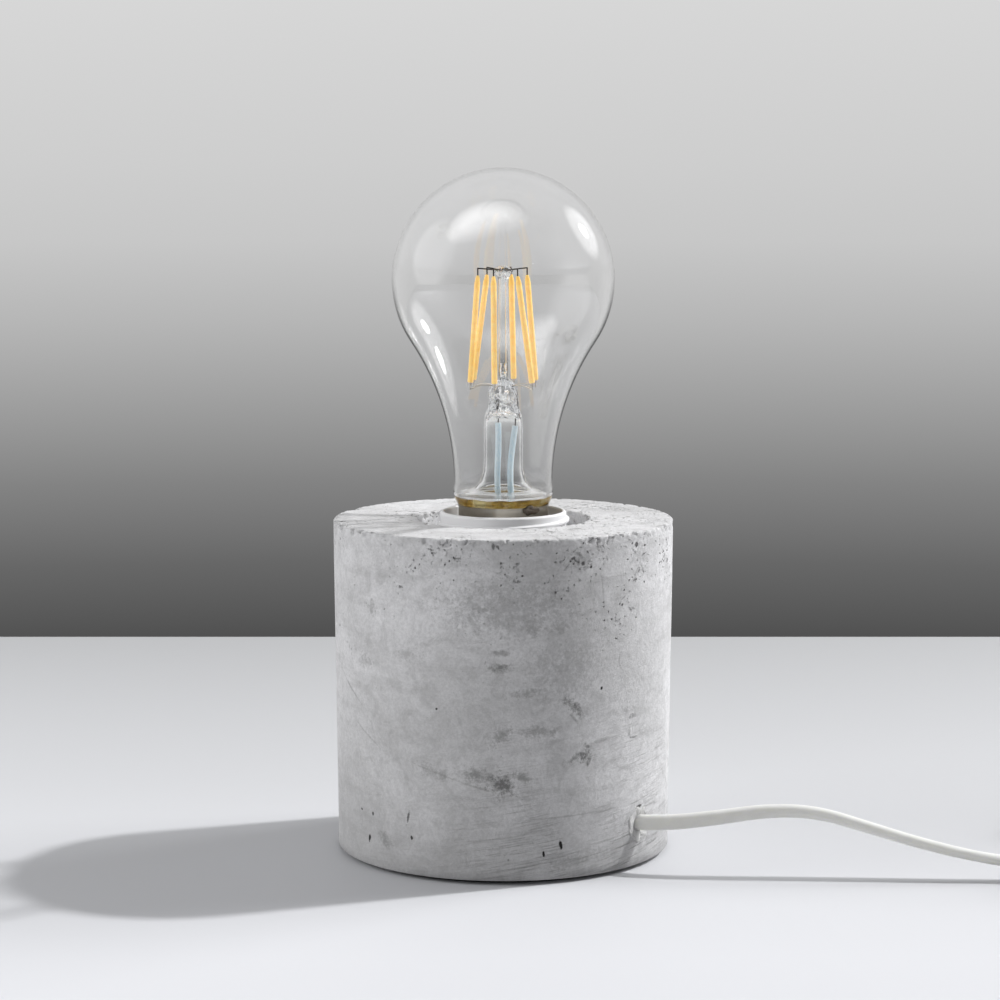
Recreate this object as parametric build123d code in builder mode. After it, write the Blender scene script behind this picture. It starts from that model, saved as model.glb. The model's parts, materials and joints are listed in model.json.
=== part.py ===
from build123d import *
import math
import os

# Concrete table lamp: millimetres, +Z up, origin under the middle of the base, on the table.
# The lead leaves the base towards +X and the front, and the viewer stands at -Y.

# Fits
fit_gap = 0.1  # between pieces that seat in or on each other
thread_gap = 0.15  # radial, between plain cylinders that stand for a thread pair
turn_gap = 0.3  # between pieces that move past each other
wire_gap = 0.05  # where a wire ends on what holds it

# Cast concrete body and its pad
pad_thickness = 1.2
pad_diameter = 91.0
body_height = 97.1
body_top_diameter = 100.0
body_draft = 0.95  # how much smaller the base radius is than the top radius
body_edge = 0.8
recess_diameter = 50.5
recess_depth = 48.3
web_thickness = 10.0
pocket_diameter = 56.0

# Lead
cord_diameter = 4.6
cord_hole_diameter = 8.0
cord_hole_z = 13.0
cord_hole_azimuth = -36.8
core_diameter = 1.9

# Nipple and what clamps it
nipple_diameter = 10.0
nipple_bore = 7.0
nipple_engagement = 8.0
nipple_tail = 2.0
nipple_hole_play = 0.3
washer_diameter = 24.0
washer_thickness = 1.6
lock_washer_diameter = 16.0
lock_washer_thickness = 1.0
nut_flats = 14.0
nut_thickness = 3.6

# Lampholder
wiring_room = 7.2  # between the dome's boss and the core
holder_crest_diameter = 39.2
rim_diameter = 37.2
rim_height = 3.0
skirt_bore = 34.6
skirt_height = 29.3
flange_depth = 8.0  # of the inner flange below the rim
flange_thickness = 1.5
flange_bore = 29.6
dome_base_diameter = 25.0
dome_wall = 1.8
dome_slope_height = 12.0
collar_height = 6.0
collar_wall = 1.5
boss_diameter = 16.0
boss_headroom = 1.0
grub_diameter = 3.0
grub_length = 5.0
core_floor_thickness = 6.0
core_foot_room = 2.8  # between the core's floor and the bulb's foot
shell_diameter = 28.4
shell_wall = 0.6
shell_lip = 2.2
shell_lift = 2.0
terminal_length = 9.0
terminal_width = 6.0
terminal_height = 4.4
terminal_inset = 4.2
terminal_hole_inset = 2.4
terminal_screw_diameter = 3.0
terminal_screw_head = 5.0
terminal_screw_head_height = 1.8
strip_thickness = 0.5
strip_width = 5.0

# Bulb
contact_depth = 25.5  # of the bulb's foot below the lampholder's rim
bulb_length = 126.0
globe_diameter = 65.2
glass_wall = 0.9
neck_diameter = 29.0
neck_height = 33.5  # of the waist above the foot
bead_bulge = 0.25
bead_drop = 2.1
cone_drop = 3.3
seat_drop = 6.8
seat_diameter = 24.6
glass_end_drop = 12.0
cap_diameter = 26.4
cap_wall = 0.4
cap_length = 26.6
cap_foot_height = 5.8
cap_lip_width = 1.6
eyelet_diameter = 9.6
eyelet_height = 1.1
insulator_foot_diameter = 12.4
insulator_shoulder = 1.0
cement_width = 0.55
cement_height = 3.2
driver_board_thickness = 1.2
driver_board_height = 11.0
driver_block_height = 5.5
stem_diameter = 11.6
stem_wall = 0.9
flare_height = 7.0
flare_lip = 0.9
stem_shoulder_height = 53.6  # above the foot
press_diameter = 8.4
press_taper = 2.4
press_height = 7.0
rod_diameter = 2.6
rod_height = 34.0
rod_bead_diameter = 4.0
sleeve_diameter = 1.5
sleeve_spacing = 4.2
sleeve_headroom = 0.9  # below the stem's shoulder
lead_wire_diameter = 0.7
filament_count = 6
filament_diameter = 1.9
filament_top_circle = 15.2
filament_bottom_circle = 21.2
filament_bottom_height = 63.6  # above the foot
filament_rise = 31.0
filament_turn = 14.0
support_wire_diameter = 0.6

# Cord stop inside the base
stop_length = 8.0
stop_width = 13.0
stop_height = 10.0
stop_wall_gap = 1.2
stop_screw_diameter = 3.0
stop_screw_head = 5.4
stop_screw_head_height = 2.0

# Switch on the lead
switch_length = 58.0
switch_width = 24.0
switch_end_width = 11.0
switch_height = 14.0
switch_split = 5.5
switch_wall = 1.6
switch_corner = 2.0
switch_top_round = 2.4
switch_x = 187.0
switch_y = -43.0
rocker_length = 15.2
rocker_width = 9.4
rocker_proud = 1.2
rocker_dip = 1.3
rocker_tilt = 8.0
rocker_side_gap = 0.4
rocker_swing_gap = 1.3
pivot_height = 9.0
pivot_diameter = 4.0
pivot_gap = 0.08
post_width = 2.0
post_length = 7.0
screw_post_diameter = 5.0
switch_screw_diameter = 2.6
switch_screw_head = 4.4
switch_screw_head_height = 1.6
switch_screw_x = 19.0
switch_screw_y = 5.2
switch_terminal_length = 6.0
switch_terminal_width = 5.0
switch_terminal_top = 2.0  # above the split
switch_terminal_x = 11.0
sheath_end_inset = 7.0

# Coil of the put-away length, its tie and the plug on it
coil_x = 208.0
coil_y = 16.0
coil_inner_radius = 17.5
coil_pitch_gap = 0.5
coil_turns_in = 4.25
coil_turns_out = 4.0
coil_climb_dip = 1.2
tie_thickness = 0.8
tie_width = 9.0
tie_play = 0.3
plug_width = 35.3
plug_height = 13.7
plug_face_length = 8.0
plug_shoulder_length = 11.0
plug_neck_width = 13.0
plug_neck_height = 11.0
plug_corner = 5.0
plug_tail_length = 21.0
plug_tail_diameter = 7.4
plug_tail_root_diameter = 9.6
plug_socket_depth = 6.0
pin_diameter = 4.0
pin_length = 19.0
pin_spacing = 18.6
pin_root = 5.0
sleeve_pin_diameter = 3.8
sleeve_pin_length = 10.0
pin_core_diameter = 3.0

# Levels of the base
body_base_z = pad_thickness
body_top_z = body_base_z + body_height
recess_floor_z = body_top_z - recess_depth
pocket_ceiling_z = recess_floor_z - web_thickness
body_top_radius = body_top_diameter / 2
body_base_radius = body_top_radius - body_draft
cord_radius = cord_diameter / 2

# Levels of the lampholder
boss_top_z = recess_floor_z + nipple_engagement + boss_headroom
core_base_z = boss_top_z + wiring_room
core_floor_z = core_base_z + core_floor_thickness
foot_z = core_floor_z + core_foot_room
rim_top_z = foot_z + contact_depth
skirt_base_z = rim_top_z - skirt_height
dome_top_z = skirt_base_z - fit_gap
collar_top_z = dome_top_z + collar_height
core_step_z = collar_top_z + fit_gap
flange_top_z = rim_top_z - flange_depth
core_top_z = flange_top_z - flange_thickness - fit_gap
nipple_top_z = recess_floor_z + nipple_engagement
washer_z = pocket_ceiling_z - washer_thickness
lock_washer_z = washer_z - lock_washer_thickness
nut_z = lock_washer_z - nut_thickness
nipple_base_z = nut_z - nipple_tail
shell_base_z = core_floor_z + shell_lift

# Levels of the bulb
cap_top_z = foot_z + cap_length
cap_foot_z = foot_z + cap_foot_height
bulb_top_z = foot_z + bulb_length
waist_z = foot_z + neck_height
seat_z = waist_z - seat_drop
glass_end_z = waist_z - glass_end_drop
board_z = foot_z + driver_board_height
filament_base_z = foot_z + filament_bottom_height
stem_shoulder_z = foot_z + stem_shoulder_height
press_base_z = stem_shoulder_z + press_taper
press_top_z = press_base_z + press_height
rod_top_z = press_top_z + rod_height

# Levels of the coil and of the plug that lies on it
coil_pitch = cord_diameter + coil_pitch_gap
coil_low_z = tie_thickness + cord_radius
coil_high_z = coil_low_z + coil_pitch
coil_outer_radius = coil_inner_radius + coil_turns_in * coil_pitch
coil_end_radius = coil_inner_radius + coil_turns_out * coil_pitch
plug_z = coil_high_z + cord_radius + fit_gap + plug_height / 2


def radial(azimuth, radius, z):
    """A point at a plan angle and a distance from the lamp's axis."""
    angle = math.radians(azimuth)
    return Vector(radius * math.cos(angle), radius * math.sin(angle), z)


# Route of the lead, points chosen along the photographed lead and just past the picture's edge
lead_points = [
    Vector(35.2, -26.4, 13.0),
    Vector(44.6, -32.4, 13.8),
    Vector(60.0, -34.2, 15.8),
    Vector(76.0, -34.5, 18.3),
    Vector(90.0, -35.2, 17.9),
    Vector(104.0, -37.3, 14.0),
    Vector(118.0, -39.6, 10.1),
    Vector(132.0, -41.6, 7.0),
    Vector(144.0, -42.8, 5.2),
    Vector(154.5, switch_y, switch_split),
    Vector(165.0, switch_y, switch_split),
]
link_points = [
    Vector(209.0, switch_y, switch_split),
    Vector(222.5, switch_y, switch_split),
    Vector(238.5, -36.0, 4.1),
    Vector(246.0, -21.0, 3.4),
    Vector(coil_x + coil_outer_radius, -5.0, coil_low_z),
    Vector(coil_x + coil_outer_radius, coil_y - cord_diameter, coil_low_z),
]
tail_points = [
    Vector(coil_x + cord_diameter, coil_y - coil_end_radius, coil_high_z),
    Vector(227.0, coil_y - coil_end_radius, coil_high_z),
    Vector(239.2, -13.8, 9.9),
    Vector(244.2, 2.5, 12.6),
    Vector(242.6, 19.0, 14.8),
    Vector(235.6, 32.2, 16.5),
    Vector(224.0, 39.2, plug_z),
    Vector(212.0, 39.2, plug_z),
]


def tube_radii(points):
    """The largest arc that each corner of a route has room for."""
    radii = []
    for before, here, after in zip(points, points[1:], points[2:]):
        runs = (here - before), (after - here)
        half_turn = math.radians(runs[0].get_angle(runs[1])) / 2
        radii.append(0.45 * min(run.length for run in runs) / math.tan(half_turn))
    return radii


def cord_tube(points, diameter, label, radii=None):
    """A round tube along straight runs joined by tangent arcs; prints its radii and checks its volume."""
    radii = radii or tube_radii(points)
    with BuildPart() as tube:
        with BuildLine() as path:
            FilletPolyline(*points, radius=radii)
        with BuildSketch(Plane(origin=points[0], z_dir=points[1] - points[0])):
            Circle(diameter / 2)
        sweep()
    length = path.wire().length
    share = tube.part.volume / (math.pi * diameter**2 / 4 * length)
    print(label, "length", round(length, 1), "volume share", round(share, 4), "radii", [round(r, 1) for r in radii])
    return tube


# Concrete body: a drafted casting with a recess above, a pocket below and a web between
with BuildPart() as concrete_body:
    with BuildSketch(Plane.XZ):
        with BuildLine():
            Polyline(
                (0, body_base_z),
                (body_base_radius, body_base_z),
                (body_top_radius, body_top_z),
                (0, body_top_z),
                close=True,
            )
        make_face()
    revolve(axis=Axis.Z)
    fillet(concrete_body.edges().filter_by(GeomType.CIRCLE), radius=body_edge)
    with BuildSketch(Plane.XY.offset(recess_floor_z)):
        Circle(recess_diameter / 2)
    extrude(amount=recess_depth, mode=Mode.SUBTRACT)
    with BuildSketch(Plane.XY.offset(body_base_z)):
        Circle(pocket_diameter / 2)
    extrude(amount=pocket_ceiling_z - body_base_z, mode=Mode.SUBTRACT)
    with BuildSketch(Plane.XY.offset(pocket_ceiling_z)):
        Circle(nipple_diameter / 2 + nipple_hole_play)
    extrude(amount=web_thickness, mode=Mode.SUBTRACT)
    with BuildSketch(Plane(origin=(0, 0, cord_hole_z), z_dir=radial(cord_hole_azimuth, 1, 0))):
        Circle(cord_hole_diameter / 2)
    extrude(amount=body_top_diameter, mode=Mode.SUBTRACT)

with BuildPart() as base_pad:
    with BuildSketch(Plane.XY):
        Circle(pad_diameter / 2)
    extrude(amount=pad_thickness)

# Hollow nipple through the web, with its washer, lock washer and nut below
with BuildPart() as nipple:
    with BuildSketch(Plane.XY.offset(nipple_base_z)):
        Circle(nipple_diameter / 2)
        Circle(nipple_bore / 2, mode=Mode.SUBTRACT)
    extrude(amount=nipple_top_z - nipple_base_z)

with BuildPart() as nipple_washer:
    with BuildSketch(Plane.XY.offset(washer_z)):
        Circle(washer_diameter / 2)
        Circle(nipple_diameter / 2 + nipple_hole_play, mode=Mode.SUBTRACT)
    extrude(amount=washer_thickness)

with BuildPart() as nipple_lock_washer:
    with BuildSketch(Plane.XY.offset(lock_washer_z)):
        Circle(lock_washer_diameter / 2)
        Circle(nipple_diameter / 2 + nipple_hole_play, mode=Mode.SUBTRACT)
        with PolarLocations(lock_washer_diameter / 2, 8):
            Circle(lock_washer_thickness, mode=Mode.SUBTRACT)
    extrude(amount=lock_washer_thickness)

with BuildPart() as nipple_nut:
    with BuildSketch(Plane.XY.offset(nut_z)):
        RegularPolygon(radius=nut_flats / 2, side_count=6, major_radius=False)
        Circle(nipple_diameter / 2 + thread_gap, mode=Mode.SUBTRACT)
    extrude(amount=nut_thickness)

# Lampholder dome: closes the holder below, is screwed on the nipple and takes the skirt on its collar
dome_radius = holder_crest_diameter / 2
collar_radius = skirt_bore / 2 - thread_gap
collar_bore_radius = collar_radius - collar_wall
dome_hole_radius = nipple_diameter / 2 + thread_gap
slope_top_z = recess_floor_z + dome_slope_height
boss_radius = boss_diameter / 2
with BuildPart() as lampholder_dome:
    with BuildSketch(Plane.XZ):
        with BuildLine():
            slope_mid = (dome_base_diameter / 2 + dome_radius) / 2 + dome_wall
            Line((dome_hole_radius, recess_floor_z), (dome_base_diameter / 2, recess_floor_z))
            ThreePointArc(
                (dome_base_diameter / 2, recess_floor_z),
                (slope_mid, recess_floor_z + dome_slope_height / 2),
                (dome_radius, slope_top_z),
            )
            Polyline(
                (dome_radius, slope_top_z),
                (dome_radius, dome_top_z),
                (collar_radius, dome_top_z),
                (collar_radius, collar_top_z),
                (collar_bore_radius, collar_top_z),
                (collar_bore_radius, slope_top_z),
                (dome_base_diameter / 2 - dome_wall, recess_floor_z + dome_wall),
                (boss_radius, recess_floor_z + dome_wall),
                (boss_radius, boss_top_z),
                (dome_hole_radius, boss_top_z),
                (dome_hole_radius, recess_floor_z),
            )
        make_face()
    revolve(axis=Axis.Z)
    grub_z = recess_floor_z + nipple_engagement / 2 + dome_wall / 2
    with BuildSketch(Plane(origin=(0, 0, grub_z), z_dir=(0, 1, 0))):
        Circle(grub_diameter / 2 + fit_gap)
    extrude(amount=holder_crest_diameter, mode=Mode.SUBTRACT)

# Grub screw in the boss, which stops the holder turning on the nipple
with BuildPart() as dome_grub_screw:
    with BuildSketch(Plane(origin=(0, nipple_diameter / 2 + fit_gap, grub_z), z_dir=(0, 1, 0))):
        Circle(grub_diameter / 2)
    extrude(amount=grub_length)

# Lampholder skirt: outer threaded shell with its plain rim and the flange that holds the core down
with BuildPart() as lampholder_skirt:
    with BuildSketch(Plane.XY.offset(skirt_base_z)):
        Circle(holder_crest_diameter / 2)
    extrude(amount=skirt_height - rim_height)
    with BuildSketch(Plane.XY.offset(rim_top_z - rim_height)):
        Circle(rim_diameter / 2)
    extrude(amount=rim_height)
    with BuildSketch(Plane.XY.offset(skirt_base_z)):
        Circle(skirt_bore / 2)
    extrude(amount=skirt_height, mode=Mode.SUBTRACT)
    with BuildSketch(Plane.XY.offset(flange_top_z - flange_thickness)):
        Circle(skirt_bore / 2)
        Circle(flange_bore / 2, mode=Mode.SUBTRACT)
    extrude(amount=flange_thickness)

# Insulating core: sits on the dome's collar, holds the screw shell, the contacts and the terminals
core_radius = skirt_bore / 2 - fit_gap
core_base_radius = collar_bore_radius - fit_gap
shell_radius = shell_diameter / 2
terminal_x = terminal_inset + terminal_length / 2
side_strip_x = shell_radius - shell_lip + strip_thickness
centre_strip_x = terminal_inset + terminal_hole_inset / 2
with BuildPart() as lampholder_core:
    with BuildSketch(Plane.XY.offset(core_base_z)):
        Circle(core_base_radius)
    extrude(amount=core_step_z - core_base_z)
    with BuildSketch(Plane.XY.offset(core_step_z)):
        Circle(core_radius)
    extrude(amount=core_top_z - core_step_z)
    with BuildSketch(Plane.XY.offset(shell_base_z)):
        Circle(shell_radius + fit_gap)
    extrude(amount=core_top_z - shell_base_z, mode=Mode.SUBTRACT)
    with BuildSketch(Plane.XY.offset(core_floor_z)):
        Circle(shell_radius - shell_lip)
    extrude(amount=shell_base_z - core_floor_z, mode=Mode.SUBTRACT)
    with BuildSketch(Plane.XY.offset(core_base_z)):
        with Locations((terminal_x, 0), (-terminal_x, 0)):
            Rectangle(terminal_length + 2 * fit_gap, terminal_width + 2 * fit_gap)
    extrude(amount=terminal_height + fit_gap, mode=Mode.SUBTRACT)
    with BuildSketch(Plane.XY.offset(core_base_z)):
        with Locations((side_strip_x, 0), (-centre_strip_x, 0)):
            Rectangle(strip_thickness + 2 * fit_gap, strip_width + 2 * fit_gap)
    extrude(amount=shell_base_z - core_base_z, mode=Mode.SUBTRACT)

with BuildPart() as screw_shell:
    with BuildSketch(Plane.XY.offset(shell_base_z)):
        Circle(shell_radius)
    extrude(amount=core_top_z - shell_base_z)
    with BuildSketch(Plane.XY.offset(shell_base_z + shell_wall)):
        Circle(shell_radius - shell_wall)
    extrude(amount=core_top_z - shell_base_z, mode=Mode.SUBTRACT)
    with BuildSketch(Plane.XY.offset(shell_base_z)):
        Circle(shell_radius - shell_lip)
    extrude(amount=shell_wall, mode=Mode.SUBTRACT)

terminal_top_z = core_base_z + terminal_height
with BuildPart() as centre_contact:
    with BuildSketch(Plane.XZ):
        with BuildLine():
            tongue_z = foot_z - turn_gap - strip_thickness / 2
            FilletPolyline(
                (-centre_strip_x, terminal_top_z + fit_gap),
                (-centre_strip_x, core_floor_z + strip_thickness),
                (0, tongue_z),
                (strip_width / 2, tongue_z - strip_thickness),
                radius=strip_thickness,
            )
        trace(line_width=strip_thickness)
    extrude(amount=strip_width / 2, both=True)

with BuildPart() as side_contact:
    with BuildSketch(Plane.XY.offset(terminal_top_z + fit_gap)):
        with Locations((side_strip_x, 0)):
            Rectangle(strip_thickness, strip_width)
    extrude(amount=shell_base_z - terminal_top_z - 2 * fit_gap)

terminal_hole_x = terminal_inset + terminal_hole_inset
terminal_screw_x = terminal_inset + terminal_length - terminal_screw_head / 2 - fit_gap
with BuildPart() as terminal_blocks:
    with BuildSketch(Plane.XY.offset(core_base_z)):
        with Locations((terminal_x, 0), (-terminal_x, 0)):
            Rectangle(terminal_length, terminal_width)
        with Locations((terminal_hole_x, 0), (-terminal_hole_x, 0)):
            Circle(core_diameter / 2 + fit_gap, mode=Mode.SUBTRACT)
        with Locations((terminal_screw_x, 0), (-terminal_screw_x, 0)):
            Circle(terminal_screw_diameter / 2 + fit_gap, mode=Mode.SUBTRACT)
    extrude(amount=terminal_height)

with BuildPart() as terminal_screws:
    with BuildSketch(Plane.XY.offset(core_base_z - terminal_screw_head_height)):
        with Locations((terminal_screw_x, 0), (-terminal_screw_x, 0)):
            Circle(terminal_screw_head / 2)
    extrude(amount=terminal_screw_head_height)
    with BuildSketch(Plane.XY.offset(core_base_z)):
        with Locations((terminal_screw_x, 0), (-terminal_screw_x, 0)):
            Circle(terminal_screw_diameter / 2)
    extrude(amount=terminal_height)

# Lead inside the base: from the drilled hole, round the pocket's corner and up the nipple
exit_direction = (lead_points[1] - lead_points[0]).normalized()
inner_corner = Vector(0, 0, cord_hole_z)
hole_point = lead_points[0] - exit_direction * cord_hole_diameter
sheath_top_z = boss_top_z + fit_gap
inner_points = [Vector(0, 0, sheath_top_z), inner_corner, hole_point, lead_points[0]]
stop_inner_radius = pocket_diameter / 2 - stop_wall_gap - stop_length
inner_bend = min(nipple_base_z - cord_hole_z, stop_inner_radius - fit_gap)
inner_cord = cord_tube(inner_points, cord_diameter, "inner_cord", [inner_bend, tube_radii(inner_points)[1]])

core_offset = core_diameter / 2 + wire_gap
core_bend_room = (core_base_z - sheath_top_z) / 3


def holder_core(side):
    """One insulated core, from the end of the sheath into its terminal block."""
    points = [
        Vector(side * core_offset, 0, sheath_top_z),
        Vector(side * core_offset, 0, sheath_top_z + core_bend_room),
        Vector(side * terminal_hole_x, 0, core_base_z - core_bend_room),
        Vector(side * terminal_hole_x, 0, terminal_top_z),
    ]
    half_turn = math.radians((points[2] - points[1]).get_angle(Vector(0, 0, 1))) / 2
    bend = 0.9 * core_bend_room / math.tan(half_turn)
    return cord_tube(points, core_diameter, "holder core", [bend, bend])


core_live = holder_core(-1)
core_neutral = holder_core(1)

# Cord stop clamped on the lead behind the drilled hole
inner_direction = (hole_point - inner_corner).normalized()
stop_centre = inner_corner + inner_direction * (stop_inner_radius + stop_length / 2)
stop_side = inner_direction.cross(Vector(0, 0, 1)).normalized()
stop_up = stop_side.cross(inner_direction)
stop_plane = Plane(origin=stop_centre, x_dir=stop_side, z_dir=inner_direction)
stop_top_plane = Plane(origin=stop_centre + stop_up * (stop_height / 2), x_dir=stop_side, z_dir=stop_up)
stop_screw_reach = stop_height / 2 - cord_radius - fit_gap
with BuildPart() as cord_stop:
    with BuildSketch(stop_plane):
        RectangleRounded(stop_width, stop_height, radius=stop_height / 5)
        Circle(cord_radius + fit_gap, mode=Mode.SUBTRACT)
    extrude(amount=stop_length / 2, both=True)
    with BuildSketch(stop_top_plane):
        Circle(stop_screw_diameter / 2 + fit_gap)
    extrude(amount=-stop_height / 2, mode=Mode.SUBTRACT)

with BuildPart() as cord_stop_screw:
    with BuildSketch(stop_top_plane):
        Circle(stop_screw_diameter / 2)
    extrude(amount=-stop_screw_reach)
    with BuildSketch(stop_top_plane):
        Circle(stop_screw_head / 2)
    extrude(amount=stop_screw_head_height)

# Bulb glass: globe, a concave shoulder tangent to it, the waist, a bead and the cone into the cap
globe_radius = globe_diameter / 2
globe_z = bulb_top_z - globe_radius
neck_radius = neck_diameter / 2
shoulder_drop = globe_z - waist_z
shoulder_radius = (neck_radius**2 + shoulder_drop**2 - globe_radius**2) / (2 * (globe_radius - neck_radius))
shoulder_centre = (neck_radius + shoulder_radius, waist_z)
tangent_length = globe_radius + shoulder_radius
tangent = (shoulder_centre[0] / tangent_length, -shoulder_drop / tangent_length)
shoulder_turn = math.asin(shoulder_drop / tangent_length)
bead_radius = neck_radius + bead_bulge
seat_radius = seat_diameter / 2


def glass_outline(inset):
    """The bulb's outline from the top of its axis down to the open end, moved in by the wall."""
    globe = globe_radius - inset
    shoulder = shoulder_radius + inset
    high = math.radians(45)
    half = shoulder_turn / 2
    meet = (globe * tangent[0], globe_z + globe * tangent[1])
    shoulder_mid = (shoulder_centre[0] - shoulder * math.cos(half), waist_z + shoulder * math.sin(half))
    ThreePointArc(
        (0, globe_z + globe),
        (globe * math.sin(high), globe_z + globe * math.cos(high)),
        meet,
    )
    ThreePointArc(meet, shoulder_mid, (neck_radius - inset, waist_z))
    ThreePointArc(
        (neck_radius - inset, waist_z),
        (bead_radius - inset, waist_z - bead_drop),
        (neck_radius - inset, waist_z - cone_drop),
    )
    Polyline(
        (neck_radius - inset, waist_z - cone_drop),
        (seat_radius - inset, seat_z),
        (seat_radius - inset, glass_end_z),
    )


with BuildPart() as bulb_glass:
    with BuildSketch(Plane.XZ):
        with BuildLine():
            glass_outline(0)
            Line((seat_radius, glass_end_z), (seat_radius - glass_wall, glass_end_z))
            glass_outline(glass_wall)
            Line((0, bulb_top_z - glass_wall), (0, bulb_top_z))
        make_face()
    revolve(axis=Axis.Z)

# Screw cap: thin shell with its lip turned in round the insulator
cap_radius = cap_diameter / 2
cap_bore_radius = cap_radius - cap_wall
cap_lip_radius = cap_radius - cap_lip_width
with BuildPart() as bulb_cap:
    with BuildSketch(Plane.XZ):
        with BuildLine():
            Polyline(
                (cap_lip_radius, cap_foot_z),
                (cap_radius, cap_foot_z + cap_lip_width),
                (cap_radius, cap_top_z),
                (cap_bore_radius, cap_top_z),
                (cap_bore_radius, cap_foot_z + cap_lip_width + cap_wall),
                (cap_lip_radius, cap_foot_z + cap_wall * 2),
                close=True,
            )
        make_face()
    revolve(axis=Axis.Z)

insulator_neck_radius = cap_lip_radius - turn_gap
insulator_top_radius = cap_bore_radius - turn_gap
insulator_base_z = foot_z + eyelet_height + fit_gap
insulator_shoulder_z = cap_foot_z + cap_lip_width + cap_wall + turn_gap
with BuildPart() as bulb_cap_insulator:
    with BuildSketch(Plane.XZ):
        with BuildLine():
            Polyline(
                (0, insulator_base_z),
                (insulator_foot_diameter / 2, insulator_base_z),
                (insulator_neck_radius, cap_foot_z),
                (insulator_neck_radius, insulator_shoulder_z),
                (insulator_top_radius, insulator_shoulder_z),
                (insulator_top_radius, insulator_shoulder_z + insulator_shoulder),
                (0, insulator_shoulder_z + insulator_shoulder),
                close=True,
            )
        make_face()
    revolve(axis=Axis.Z)

with BuildPart() as bulb_eyelet:
    with BuildSketch(Plane.XY.offset(foot_z)):
        Circle(eyelet_diameter / 2)
    extrude(amount=eyelet_height)
    fillet(bulb_eyelet.edges().group_by(Axis.Z)[0], radius=eyelet_height / 2)

# Amber cement: a sleeve between the glass and the cap, with a bead that follows the cone above the cap
cone_top_z = waist_z - cone_drop
cone_slope = (neck_radius - seat_radius) / (cone_top_z - seat_z)
bead_base_z = cap_top_z + wire_gap
bead_top_z = bead_base_z + cement_height


def cone_radius(z):
    """The radius just outside the glass cone at a height."""
    return seat_radius + max(0, z - seat_z) * cone_slope + fit_gap / 2


with BuildPart() as bulb_cement:
    with BuildSketch(Plane.XZ):
        with BuildLine():
            Polyline(
                (seat_radius + wire_gap, glass_end_z + cement_width),
                (cap_bore_radius - wire_gap, glass_end_z + cement_width),
                (cap_bore_radius - wire_gap, bead_base_z),
                (cap_radius + wire_gap, bead_base_z),
                (cone_radius(bead_base_z + cement_height / 2) + cement_width, bead_base_z + cement_height / 2),
                (cone_radius(bead_top_z), bead_top_z),
                (cone_radius(seat_z), seat_z - fit_gap / 2),
                (seat_radius + wire_gap, seat_z - fit_gap),
                close=True,
            )
        make_face()
    revolve(axis=Axis.Z)

# Driver board pressed into the cap, with its tall part
with BuildPart() as bulb_driver:
    with BuildSketch(Plane.XY.offset(board_z)):
        Circle(cap_bore_radius - fit_gap)
    extrude(amount=driver_board_thickness)
    with BuildSketch(Plane.XY.offset(board_z + driver_board_thickness)):
        with Locations((0, stem_diameter / 2), (0, -stem_diameter / 2)):
            RectangleRounded(stem_diameter, sleeve_spacing, radius=sleeve_diameter / 2)
    extrude(amount=driver_block_height)

# Glass stem: flare sealed to the neck, tube, press and the rod that carries the top wires
stem_radius = stem_diameter / 2
flare_radius = seat_radius - glass_wall - wire_gap
press_radius = press_diameter / 2
rod_radius = rod_diameter / 2
with BuildPart() as bulb_stem:
    with BuildSketch(Plane.XZ):
        with BuildLine():
            Polyline(
                (flare_radius - stem_wall, glass_end_z),
                (flare_radius, glass_end_z),
                (flare_radius, glass_end_z + flare_lip),
                (stem_radius, glass_end_z + flare_height),
                (stem_radius, stem_shoulder_z),
                (press_radius, press_base_z),
                (press_radius, press_top_z - rod_diameter),
                (rod_radius, press_top_z),
                (rod_radius, rod_top_z - rod_bead_diameter / 2),
                (rod_bead_diameter / 2, rod_top_z - rod_bead_diameter / 3),
                (rod_bead_diameter / 2, rod_top_z),
                (0, rod_top_z),
                (0, stem_shoulder_z),
                (stem_radius - stem_wall, stem_shoulder_z - stem_wall),
                (stem_radius - stem_wall, glass_end_z + flare_height - flare_lip),
                close=True,
            )
        make_face()
    revolve(axis=Axis.Z)

lead_base_z = board_z + driver_board_thickness + wire_gap
sleeve_top_z = stem_shoulder_z - stem_wall - sleeve_headroom
with BuildPart() as bulb_lead_sleeves:
    with BuildSketch(Plane.XY.offset(lead_base_z)):
        with Locations((sleeve_spacing / 2, 0), (-sleeve_spacing / 2, 0)):
            Circle(sleeve_diameter / 2)
            Circle(lead_wire_diameter / 2 + wire_gap, mode=Mode.SUBTRACT)
    extrude(amount=sleeve_top_z - lead_base_z)

with BuildPart() as bulb_lead_wires:
    with BuildSketch(Plane.XY.offset(lead_base_z)):
        with Locations((sleeve_spacing / 2, 0), (-sleeve_spacing / 2, 0)):
            Circle(lead_wire_diameter / 2)
    extrude(amount=sleeve_top_z - lead_base_z)

# Filaments: straight rods on a cone, wider below, each held by a wire at its top and one at its foot
filament_angles = [filament_turn + 360 * k / filament_count for k in range(filament_count)]
filament_top_z = filament_base_z + filament_rise
wire_radius = support_wire_diameter / 2
filament_feet = [radial(a, filament_bottom_circle / 2, filament_base_z) for a in filament_angles]
filament_tops = [radial(a, filament_top_circle / 2, filament_top_z) for a in filament_angles]
bead_end_radius = rod_bead_diameter / 2 + wire_gap
press_end_radius = press_radius + wire_radius + wire_gap
bead_ends = [radial(a, bead_end_radius, rod_top_z - rod_bead_diameter / 6) for a in filament_angles]
press_ends = [radial(a, press_end_radius, press_base_z + press_height / 3) for a in filament_angles]


def rod_plane(start, end):
    """The plane across a rod, just off the point it starts from."""
    along = (end - start).normalized()
    return Plane(origin=start + along * wire_gap, z_dir=along)


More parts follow.
